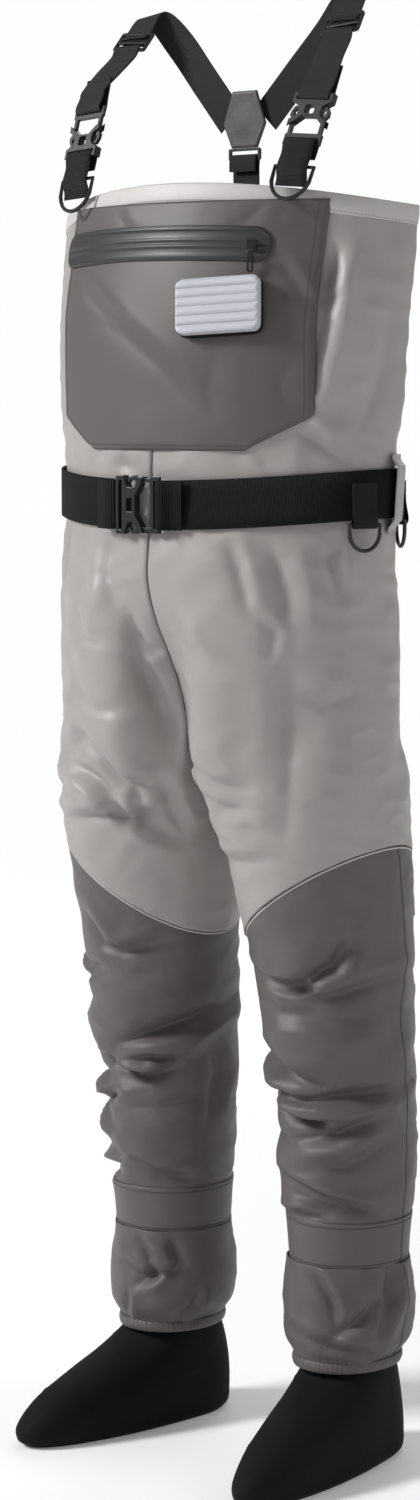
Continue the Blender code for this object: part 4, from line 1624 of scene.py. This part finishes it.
@dataclass
class FlyPatch:
    """The ribbed foam patch that holds flies, on its hook backing.

    Args:
        width: width of the foam.
        tall: its height.
        deep: its thickness.
        ribs: number of ribs.
    """

    width: float = 0.087
    tall: float = 0.054
    deep: float = 0.0110
    ribs: int = 6

    def build(self) -> list[Piece]:
        """Makes the foam and the backing on the frame's own faces.

        Returns:
            The pieces.
        """
        return [self._foam(), self._backing()]

    def _axes(self, node: str) -> Matrix:
        """Frame of a box-shaped node: X along its width, Y into the body, Z up.

        Args:
            node: the node.

        Returns:
            Its frame.
        """
        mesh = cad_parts[node].data
        centre = sum((v.co for v in mesh.vertices), Vector()) / len(mesh.vertices)
        spots = np.array([v.co for v in mesh.vertices]) - np.array(centre)
        _, _, axes = np.linalg.svd(spots, full_matrices=False)
        wide, up = Vector(axes[0]), Vector(axes[1])
        wide = wide if wide.x > 0 else -wide
        up = up if up.z > 0 else -up
        inward = up.cross(wide).normalized()
        return Matrix.Translation(centre) @ Matrix((wide, inward, up)).transposed().to_4x4()

    def _foam(self) -> Piece:
        """The foam block with rounded corners and moulded ribs.

        Returns:
            The piece.
        """
        place = self._axes("fly_patch")
        rows, columns = 90, 60
        lines, places = np.linspace(-1.0, 1.0, rows), np.linspace(-1.0, 1.0, columns)
        points = [place @ self._face(u, v) for v in lines for u in places]
        faces = []
        for r in range(rows - 1):
            for c in range(columns - 1):
                a = r * columns + c
                faces.append((a, a + 1, a + columns + 1, a + columns))
        rim = list(range(columns)) + [r * columns + columns - 1 for r in range(1, rows)]
        rim += [(rows - 1) * columns + c for c in range(columns - 2, -1, -1)]
        rim += [r * columns for r in range(rows - 2, 0, -1)]
        inverse = place.inverted()
        previous = rim
        for depth, grow in ((0.15, 0.35), (0.5, 0.5), (0.9, 0.2), (1.0, -0.6)):
            ring = []
            for index in rim:
                local = inverse @ points[index]
                out = Vector((local.x, 0.0, local.z)).normalized() * grow * 0.001
                y = -self.deep / 2 + 0.0012 + depth * (self.deep - 0.0012)
                points.append(place @ Vector((local.x + out.x, y, local.z + out.z)))
                ring.append(len(points) - 1)
            for i in range(len(rim)):
                n = (i + 1) % len(rim)
                faces.append((previous[n], previous[i], ring[i], ring[n]))
            previous = ring
        faces.append(tuple(previous))
        shifted = np.array([tuple(p) for p in points]) - np.array(TO_FRAME)
        obj = mesh_object("fly_foam_patch", shifted, faces, FOAM)
        centre = place.translation
        if sum((p.center - centre).dot(p.normal) * p.area for p in obj.data.polygons) < 0:
            obj.data.flip_normals()
        settle(obj, FOAM, "fly_patch", body="patch")
        return obj

    def _face(self, u: float, v: float) -> Vector:
        """A point on the ribbed front, with the corners rounded off.

        Args:
            u: place across, from -1 to 1.
            v: place up, from -1 to 1.

        Returns:
            The point in the foam's own frame.
        """
        corner = 0.0075
        x, z = u * self.width / 2, v * self.tall / 2
        cx, cz = self.width / 2 - corner, self.tall / 2 - corner
        ax, az = abs(x), abs(z)
        if ax > cx and az > cz:
            reach = max(ax - cx, az - cz)
            length = math.hypot(ax - cx, az - cz) or 1.0
            scale = reach / length
            x = math.copysign(cx + (ax - cx) * scale, x)
            z = math.copysign(cz + (az - cz) * scale, z)
        ride = abs(math.sin(math.pi * (v + 1) / 2 * self.ribs)) ** 0.55
        edge = min(1.0, min(1 - abs(u), 1 - abs(v)) / 0.06)
        groove = 0.0034 * (1 - ride) * min(1.0, (1 - abs(u)) / 0.04)
        y = -self.deep / 2 + 0.0012 - 0.0012 * math.sqrt(max(0.0, edge)) + groove
        return Vector((x, y, z))

    def _backing(self) -> Piece:
        """The hook backing sewn to the pocket, a little larger than the foam.

        Returns:
            The piece.
        """
        place = self._axes("fly_patch_base")
        count = 96
        outline = []
        for i in range(count):
            turn = 2 * math.pi * i / count
            x = 0.0445 * math.copysign(abs(math.cos(turn)) ** 0.22, math.cos(turn))
            z = 0.0285 * math.copysign(abs(math.sin(turn)) ** 0.22, math.sin(turn))
            outline.append((x, z))
        points = []
        layers = ((0.0010, 1.0), (-0.0004, 1.0), (-0.0009, 0.985))
        for y, size in layers:
            points += [place @ Vector((x * size, y, z * size)) for x, z in outline]
        faces = tube_faces(count, len(layers))
        shifted = np.array([tuple(p) for p in points]) - np.array(TO_FRAME)
        obj = mesh_object("fly_patch_hook_backing", shifted, faces, HOOK)
        return settle(obj, HOOK, "fly_patch_base")


# --------------------------------------------------------------------------- straps


def strap_frame(spot: Vector, along: Vector, facing: Vector) -> Matrix:
    """Frame on a strap: X across it, Y along it, Z out of its face.

    Args:
        spot: its origin.
        along: direction of the strap.
        facing: rough outward direction.

    Returns:
        The frame.
    """
    y = along.normalized()
    z = (facing - facing.dot(y) * y).normalized()
    x = y.cross(z)
    return Matrix.Translation(spot) @ Matrix((x, y, z)).transposed().to_4x4()


@dataclass
class ShoulderStrap:
    """One elastic shoulder strap with its sewn tab, from the collar to the back patch.

    Args:
        side: wearer's side.
        thick: thickness of the elastic.
        reach: distance up the seat where the back length starts.
    """

    side: Side
    thick: float = 0.0019
    reach: float = 0.0365

    def build(self) -> list[Piece]:
        """Makes the front strap, the back strap and the tab.

        Returns:
            The pieces.
        """
        return [self._front(), self._back(), self._tab()]

    @property
    def crest(self) -> Vector:
        """The place of the length slider, near the top of the strap."""
        return Vector((self.side.value * 0.1360, 0.0010, 1.462))

    @property
    def seat(self) -> Matrix:
        """Frame of the buckle's mouth: X across the strap, Y up along it, Z out of its face.

        Returns:
            The frame.
        """
        sign = self.side.value
        lower = Vector((sign * 0.140, -0.0905, 1.297))
        mouth = Vector((sign * 0.1425, -0.0670, 1.352 if sign > 0 else 1.369))
        return strap_frame(mouth, (mouth - lower).normalized(), Vector((sign * 0.10, -1.0, 0.22)))

    def _crossing(self, above: float) -> tuple[Vector, Vector, Vector]:
        """How the strap meets its slider.

        Args:
            above: distance up the seat that the strap comes from.

        Returns:
            Its direction, the place where it meets the slider, and its face's outward direction.
        """
        approach = (self.crest - self.seat @ Vector((0.0, above, 0.0))).normalized()
        spot = self.crest - approach * 0.006
        normal = approach.cross(Vector((1, 0, 0)))
        return approach, spot, normal if normal.y < 0 else -normal

    def _front(self) -> Piece:
        """Elastic looped through the buckle's slot below and the slider above.

        Returns:
            The piece.
        """
        high = 0.0305 if self.side is Side.LEFT else 0.0138
        bar = high + 0.0040
        wide = Vector((1.0, 0.05 * self.side.value, 0.0))
        across = self.seat.to_3x3() @ Vector((1, 0, 0))
        local = [(bar + 0.034, -0.0036), (bar + 0.012, -0.0040), (bar, -0.0046), (high, -0.0030),
                 (high - 0.0004, 0.0),
                 (high, 0.0034), (bar, 0.0050), (bar + 0.012, 0.0022)]
        loop = [self.seat @ Vector((0.0, y, z)) for y, z in local]
        start = self.seat @ Vector((0.0, bar + 0.020, 0.0010))
        approach, spot, normal = self._crossing(bar)
        middle = start.lerp(spot - approach * 0.022, 0.5) + Vector((0, -0.0015, 0))
        upper = [spot - approach * 0.022 + normal * 0.001, spot - approach * 0.0125 + normal * 0.0030,
                 spot - approach * 0.0062 + normal * 0.0008, spot - approach * 0.0040 - normal * 0.0026,
                 spot - normal * 0.0034, spot + approach * 0.0060 - normal * 0.0030,
                 spot + approach * 0.016 - normal * 0.003]
        path = smooth_path(loop + [start, middle] + upper, 110)
        sides = smooth_path([across] * len(loop) + [across, wide] + [wide] * len(upper), 110)
        obj = Ribbon(f"elastic_{self.side.word}_front", path, sides, ELASTIC_WIDTH, self.thick,
                     ELASTIC).build()
        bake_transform(obj)
        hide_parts(f"strap_{self.side.word}_front")
        return obj

    def _back(self) -> Piece:
        """Elastic from the slider over the shoulder, flat down to the back patch.

        Returns:
            The piece.
        """
        sign = self.side.value
        approach, spot, normal = self._crossing(self.reach)
        wide = Vector((1.0, 0.05 * sign, 0.0))
        over = Vector((sign * 0.128, 0.020, 1.4855))
        fall = Vector((sign * 0.098, 0.026, 1.455))
        patch = Vector((sign * 0.0230, 0.0180, 1.3730))
        points = [spot + approach * 0.002 + normal * 0.0040, spot + approach * 0.0078 + normal * 0.0006,
                  spot + approach * 0.0130 + normal * 0.0010, over, fall, fall.lerp(patch, 0.5), patch]
        slant = Vector((0.72, 0.0, -sign * 0.69))
        sides = [wide, wide, wide, Vector((0.97, 0.1 * sign, -0.15 * sign)),
                 Vector((0.80, 0.0, -0.58 * sign)), slant, slant]
        path, across = smooth_path(points, 90), smooth_path(sides, 90)
        obj = Ribbon(f"elastic_{self.side.word}_back", path, across, ELASTIC_WIDTH, self.thick,
                     ELASTIC).build()
        return settle(obj, ELASTIC, f"strap_{self.side.word}_back")

    def _tab(self) -> Piece:
        """Webbing tab from the lower buckle half, over the ring's bar and sewn to the collar.

        Returns:
            The piece.
        """
        low = -0.0195 if self.side is Side.LEFT else -0.0370
        ring = low - 0.022
        slot = -0.0138 if self.side is Side.LEFT else -0.0305
        local = [(low - 0.012, -0.0042), (low - 0.001, -0.0046), (slot, -0.0034), (slot + 0.0004, 0.0),
                 (slot, 0.0034),
                 (low - 0.001, 0.0050), (low - 0.010, 0.0032), (ring, 0.0042), (ring - 0.006, 0.0026),
                 (ring - 0.012, -0.0010), (ring - 0.0195, -0.0026)]
        across = self.seat.to_3x3() @ Vector((1, 0, 0))
        path = smooth_path([self.seat @ Vector((0.0, y, z)) for y, z in local], 70)
        obj = Ribbon(f"strap_{self.side.word}_sewn_tab", path, [across] * 70, ELASTIC_WIDTH, 0.0017,
                     TAB_WEB).build()
        return settle(obj, TAB_WEB, f"strap_{self.side.word}_tab")


@dataclass
class BackYoke:
    """The hexagonal back patch and the strap that runs from its slider down to the back hem.

    Args:
        outline: corners of the patch, across and up.
        place: its middle.
    """

    outline: tuple = ((-0.0155, 0.0290), (0.0155, 0.0290), (0.0275, -0.0040), (0.0165, -0.0280),
                      (-0.0165, -0.0280), (-0.0275, -0.0040))
    place: tuple[float, float, float] = (0.0, 0.0125, 1.372)

    def build(self) -> list[Piece]:
        """Makes the patch and the strap.

        Returns:
            The pieces.
        """
        return [self._patch(), self._strap()]

    def _patch(self) -> Piece:
        """Two hides sewn round their edge, with the elastic ends between them.

        Returns:
            The piece.
        """
        per_side = 10
        edge = []
        for (ax, ay), (bx, by) in zip(self.outline, self.outline[1:] + self.outline[:1]):
            edge += [(ax + (bx - ax) * i / per_side, ay + (by - ay) * i / per_side) for i in range(per_side)]
        count = len(edge)
        points, faces = [], []
        layers = ((1.0, 0.0), (1.0, 0.0009), (0.97, 0.0016), (0.90, 0.0019), (0.86, 0.0017), (0.5, 0.0024),
                  (0.12, 0.0026))
        cx, cy, cz = self.place
        for sign in (-1, 1):
            first = len(points)
            for size, lift in layers:
                points += [(cx + x * size, cy + sign * lift, cz + y * size) for x, y in edge]
            for r in range(len(layers) - 1):
                for i in range(count):
                    n = (i + 1) % count
                    quad = (first + r * count + i, first + r * count + n,
                            first + (r + 1) * count + n, first + (r + 1) * count + i)
                    faces.append(quad if sign < 0 else quad[::-1])
            cap = tuple(first + (len(layers) - 1) * count + i for i in range(count))
            faces.append(cap if sign < 0 else cap[::-1])
        obj = mesh_object("back_hide_patch", np.array(points), faces, PATCH_HIDE)
        obj.data.set_sharp_from_angle(angle=math.radians(50))
        return settle(obj, PATCH_HIDE, "back_patch")

    def _strap(self) -> Piece:
        """Elastic through the lower slot of the loop, folded over, and down to the hem.

        Returns:
            The piece.
        """
        y = 0.0125
        points = [Vector((0, y - 0.0040, 1.3200)), Vector((0, y - 0.0042, 1.3290)),
                  Vector((0, y - 0.0024, 1.3355)),
                  Vector((0, y, 1.3362)), Vector((0, y + 0.0030, 1.3340)), Vector((0, y + 0.0022, 1.3200)),
                  Vector((0, 0.0165, 1.290)), Vector((0, 0.0262, 1.235)), Vector((0, 0.0315, 1.198))]
        path = smooth_path(points, 80)
        obj = Ribbon("back_elastic", path, [Vector((1, 0, 0))] * 80, STRAP_WIDTH - 0.004, 0.0019,
                     ELASTIC).build()
        return settle(obj, ELASTIC, "back_strap")


# --------------------------------------------------------------------------- belt


@dataclass
class Belt:
    """The ribbed waist belt with its loops and ring tabs.

    Args:
        thick: thickness of the webbing.
        loops: name and turn in degrees of each loop.
        tabs: name and turn in degrees of each ring's tab.
    """

    thick: float = 0.0024
    loops: tuple = (("left", 100.0), ("right", -100.0), ("back", 180.0))
    tabs: tuple = (("hip", 72.0), ("rear", 122.0))

    def build(self) -> list[Piece]:
        """Makes the webbing, the loops and the tabs.

        Returns:
            The pieces.
        """
        pieces = [self._webbing()]
        pieces += [self._loop(name, degrees) for name, degrees in self.loops]
        pieces += [self._tab(name, degrees) for name, degrees in self.tabs]
        return pieces

    def _webbing(self) -> Piece:
        """The belt from the socket's bar round the waist to the plug's bar, each end folded back.

        Returns:
            The part fixed to the body.
        """
        level = float(belt_height(np.array(0.0)))
        front = float(body_point(np.array(0.0), np.array(level))[1]) - 0.0112
        path: list[Vector] = []
        across: list[Vector] = []
        up = Vector((0, 0, 1))
        for x, y in ((0.046, 0.0045), (0.034, 0.0028), (0.0255, -0.0046), (0.0200, -0.0036), (0.0172, 0.0),
                     (0.0200, 0.0034),
                     (0.0250, 0.0042)):
            path.append(Vector((x, front + y, level)))
            across.append(up)
        start, stop = math.radians(11.5), 2 * math.pi - math.radians(14.0)
        for turn in np.linspace(start, stop, 130):
            z = float(belt_height(np.array(turn)))
            high = body_point(np.array(turn), np.array(z + BELT_WIDTH / 2), 0.0042)
            low = body_point(np.array(turn), np.array(z - BELT_WIDTH / 2), 0.0042)
            path.append(Vector((high + low) / 2))
            across.append(Vector(high - low).normalized())
        for x, y in ((-0.0400, 0.0046), (-0.0360, 0.0036), (-0.0338, 0.0), (-0.0360, -0.0040),
                     (-0.0420, -0.0048),
                     (-0.0520, -0.0012), (-0.0640, 0.0048)):
            path.append(Vector((x, front + y, level)))
            across.append(up)
        count = 520
        path, across = smooth_path(path, count), smooth_path(across, count)
        under = self._station(self.tabs[0][1], 0.0, 0.0042)
        split = min(range(count // 2), key=lambda i: (path[i] - under).length)
        width = BELT_WIDTH - 0.001
        plug_end = Ribbon("waist_belt_plug_end", path[: split + 1], across[: split + 1], width, self.thick,
                          BELT_WEB).build()
        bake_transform(plug_end)
        gap = (path[split + 1] - path[split]).normalized() * 0.0002
        rest = [path[split] + gap, *path[split + 1 :]]
        obj = Ribbon("waist_belt", rest, across[split:], width, self.thick, BELT_WEB).build()
        return settle(obj, BELT_WEB, "belt_webbing")

    def _station(self, degrees: float, rise: float, out: float) -> Vector:
        """A point off the body at a turn and a height above the belt's middle."""
        turn = np.array(math.radians(degrees))
        return Vector(body_point(turn, belt_height(turn) + rise, out))

    def _across(self, degrees: float) -> Vector:
        """Direction along the belt at a turn."""
        ahead = self._station(degrees + 1.0, 0.0, 0.0) - self._station(degrees - 1.0, 0.0, 0.0)
        return Vector((ahead.x, ahead.y, 0.0)).normalized()

    def _loop(self, name: str, degrees: float) -> Piece:
        """A fabric keeper that bridges the belt, sewn down above and below it.

        Args:
            name: the loop's name.
            degrees: its turn.

        Returns:
            The piece.
        """
        profile = ((0.0385, 0.0018), (0.034, 0.0022), (0.029, 0.0060), (0.024, 0.0088), (0.0, 0.0094),
                   (-0.024, 0.0088),
                   (-0.029, 0.0060), (-0.034, 0.0022), (-0.0385, 0.0018))
        points = [self._station(degrees, rise, out) for rise, out in profile]
        wide = self._across(degrees)
        path = smooth_path(points, 60)
        obj = Ribbon(f"belt_keeper_{name}", path, [wide] * 60, 0.031, 0.0014, LIGHT_SHELL).build()
        return settle(obj, LIGHT_SHELL, f"belt_loop_{name}")

    def _tab(self, name: str, degrees: float) -> Piece:
        """Webbing folded round the ring's bar and sewn to the belt.

        Args:
            name: the ring's name.
            degrees: the tab's turn.

        Returns:
            The piece.
        """
        wide = self._across(degrees)
        inward = Vector((0, 0, 1)).cross(wide)
        turn = np.array(math.radians(degrees))
        bar_z = float(belt_height(turn)) - 0.028
        spot = Vector(body_point(turn, belt_height(turn), 0.0125))
        spot.z = bar_z
        points = []
        for y, z in ((-0.0012, 0.040), (-0.0014, 0.020), (-0.0040, 0.004), (-0.0037, -0.001)):
            points.append(spot + inward * y + Vector((0, 0, z)))
        for i in range(7):
            angle = math.radians(180 + 180 * i / 6)
            points.append(spot + inward * (0.0037 * math.cos(angle)) + Vector((0, 0,
                                                                               0.0037 * math.sin(angle))))
        for y, z in ((0.0037, 0.002), (0.0012, 0.010), (0.0012, 0.040)):
            points.append(spot + inward * y + Vector((0, 0, z)))
        path = smooth_path(points, 80)
        obj = Ribbon(f"{name}_ring_sewn_tab", path, [wide] * 80, 0.0255, 0.0013, TAB_WEB).build()
        return settle(obj, TAB_WEB, f"{name}_ring_tab")


# --------------------------------------------------------------------------- hardware and studio


@dataclass
class Hardware:
    """Moulded pieces that keep their own shape and take a better finish.

    Args:
        rings: nodes that take the rings' finish.
    """

    rings: tuple = ("strap_left_d_ring", "strap_right_d_ring", "hip_d_ring", "rear_d_ring")

    def dress(self) -> None:
        """Gives every kept node its finish and a soft edge shade."""
        for name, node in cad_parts.items():
            moulded = "buckle" in name or "slider" in name or "d_ring" in name or name == "zip_pull"
            if not moulded:
                continue
            finish = RING_ACETAL if name in self.rings else ACETAL
            node.data.materials.clear()
            node.data.materials.append(finish.material())
            node.data.shade_smooth()
            node.data.set_sharp_from_angle(angle=math.radians(38))
            LOG.info("%s dressed in %s", name, finish.name)


@dataclass
class Studio:
    """Pale floor, soft lights and the camera.

    Args:
        azimuth: the camera's direction round the object in degrees.
        distance: level distance from the body's axis.
        eye: camera height.
        aim: height that the camera looks at.
        lens: focal length in millimetres.
        slide: sideways move of the camera and its aim.
    """

    azimuth: float = 40.0
    distance: float = 3.38
    eye: float = 1.09
    aim: float = 0.730
    lens: float = 79.0
    slide: float = -0.0275

    def build(self) -> None:
        """Makes the floor, the lights and the camera."""
        self._floor()
        self._light("key", (-2.3, -2.6, 2.9), 1.0, 172.0)
        self._light("front_fill", (2.6, -3.6, 1.4), 2.4, 14.0)
        self._light("rim", (3.2, 1.7, 2.4), 1.5, 26.0)
        self._light("back_fill", (-1.8, 3.2, 2.4), 2.4, 40.0)
        self._camera()
        world = bpy.data.worlds.new("studio_air")
        world.use_nodes = True
        put(world.node_tree.nodes["Background"], {"Color": (1.0, 1.0, 1.0, 1.0), "Strength": 0.27})
        bpy.context.scene.world = world
        bpy.context.scene.view_settings.view_transform = "Standard"

    def _floor(self) -> None:
        """A pale floor that fades into a bright surround seen by the camera only."""
        size, radius, corners_round = 30.0, 28.0, 48
        floor = self._stage_mesh("studio_floor", [(-size, -size, 0), (size, -size, 0), (size, size, 0),
                                                  (-size, size, 0)],
                                 [(0, 1, 2, 3)])
        floor.location.z = -0.0008
        floor.data.materials.append(self._paper())
        ring = [(radius * math.cos(math.pi * i / 24), radius * math.sin(math.pi * i / 24))
                for i in range(corners_round)]
        corners = [(x, y, z) for z in (-0.5, 30.0) for x, y in ring]
        walls = [(i, (i + 1) % corners_round, corners_round + (i + 1) % corners_round, corners_round + i)
                 for i in range(corners_round)]
        walls.append(tuple(range(corners_round, 2 * corners_round)))
        surround = self._stage_mesh("studio_surround", corners, walls)
        glow = bpy.data.materials.new("studio_glow")
        glow.use_nodes = True
        shader = glow.node_tree.nodes["Principled BSDF"]
        put(shader, {"Base Color": (0.0, 0.0, 0.0, 1.0), "Emission Color": (1.0, 1.0, 1.0, 1.0),
                     "Emission Strength": 0.97})
        surround.data.materials.append(glow)
        surround.visible_diffuse = False
        surround.visible_glossy = False
        surround.visible_transmission = False
        surround.visible_shadow = False

    def _stage_mesh(self, name: str, corners: list, faces: list) -> Piece:
        """A plain mesh that belongs to the studio, not to the object.

        Args:
            name: object name.
            corners: its points.
            faces: index tuples.

        Returns:
            The object.
        """
        mesh = bpy.data.meshes.new(name)
        mesh.from_pydata(corners, [], faces)
        obj = bpy.data.objects.new(name, mesh)
        bpy.context.scene.collection.objects.link(obj)
        return obj

    def _paper(self) -> bpy.types.Material:
        """White paper that takes shadows near the object and glows farther out.

        Returns:
            The material.
        """
        material = bpy.data.materials.new("studio_paper")
        material.use_nodes = True
        tree = material.node_tree
        shader = tree.nodes["Principled BSDF"]
        put(shader, {"Roughness": 0.9, "Emission Color": (1.0, 1.0, 1.0, 1.0)})
        place = tree.nodes.new("ShaderNodeTexCoord")
        reach = tree.nodes.new("ShaderNodeVectorMath")
        reach.operation = "LENGTH"
        tree.links.new(place.outputs["Object"], reach.inputs[0])
        for socket, near, far in (("Base Color", 0.90, 0.0), ("Emission Strength", 0.12, 0.97)):
            spread = tree.nodes.new("ShaderNodeMapRange")
            spread.interpolation_type = "SMOOTHSTEP"
            put(spread, {"From Min": 0.5, "From Max": 2.2, "To Min": near, "To Max": far})
            tree.links.new(reach.outputs["Value"], spread.inputs["Value"])
            tree.links.new(spread.outputs["Result"], shader.inputs[socket])
        return material

    def _light(self, name: str, place: tuple[float, float, float], size: float, power: float) -> None:
        """A soft square light aimed at the middle of the object.

        Args:
            name: light name.
            place: its place.
            size: side of the square.
            power: watts.
        """
        lamp = bpy.data.lights.new(name, "AREA")
        lamp.size = size
        lamp.energy = power
        obj = bpy.data.objects.new(name, lamp)
        obj.location = place
        obj.rotation_euler = (Vector((0, 0, 0.8)) - Vector(place)).to_track_quat("-Z", "Y").to_euler()
        bpy.context.scene.collection.objects.link(obj)

    def _camera(self) -> None:
        """The camera, level in roll, aimed slightly down."""
        turn = math.radians(self.azimuth)
        right = Vector((math.cos(turn), math.sin(turn), 0.0))
        base = Vector(TO_FRAME) + right * self.slide
        place = base + Vector((math.sin(turn), -math.cos(turn), 0.0)) * self.distance + Vector((0, 0,
                                                                                                self.eye))
        target = base + Vector((0, 0, self.aim))
        data = bpy.data.cameras.new("camera")
        data.lens = self.lens
        obj = bpy.data.objects.new("camera", data)
        obj.location = place
        obj.rotation_euler = (target - place).to_track_quat("-Z", "Y").to_euler()
        bpy.context.scene.collection.objects.link(obj)
        bpy.context.scene.camera = obj


def main() -> None:
    """Builds every sub-assembly in order."""
    logging.basicConfig(level=logging.INFO, format="%(name)s %(message)s")
    Studio().build()
    for side in Side:
        UpperHalf(side).build()
        LowerLeg(side).build()
        Bootie(side).build()
        ShoulderStrap(side).build()
    Collar().build()
    ChestPocket().build()
    ZipWelt().build()
    FlyPatch().build()
    BackYoke().build()
    Belt().build()
    Hardware().dress()


if __name__ == "__main__":
    main()
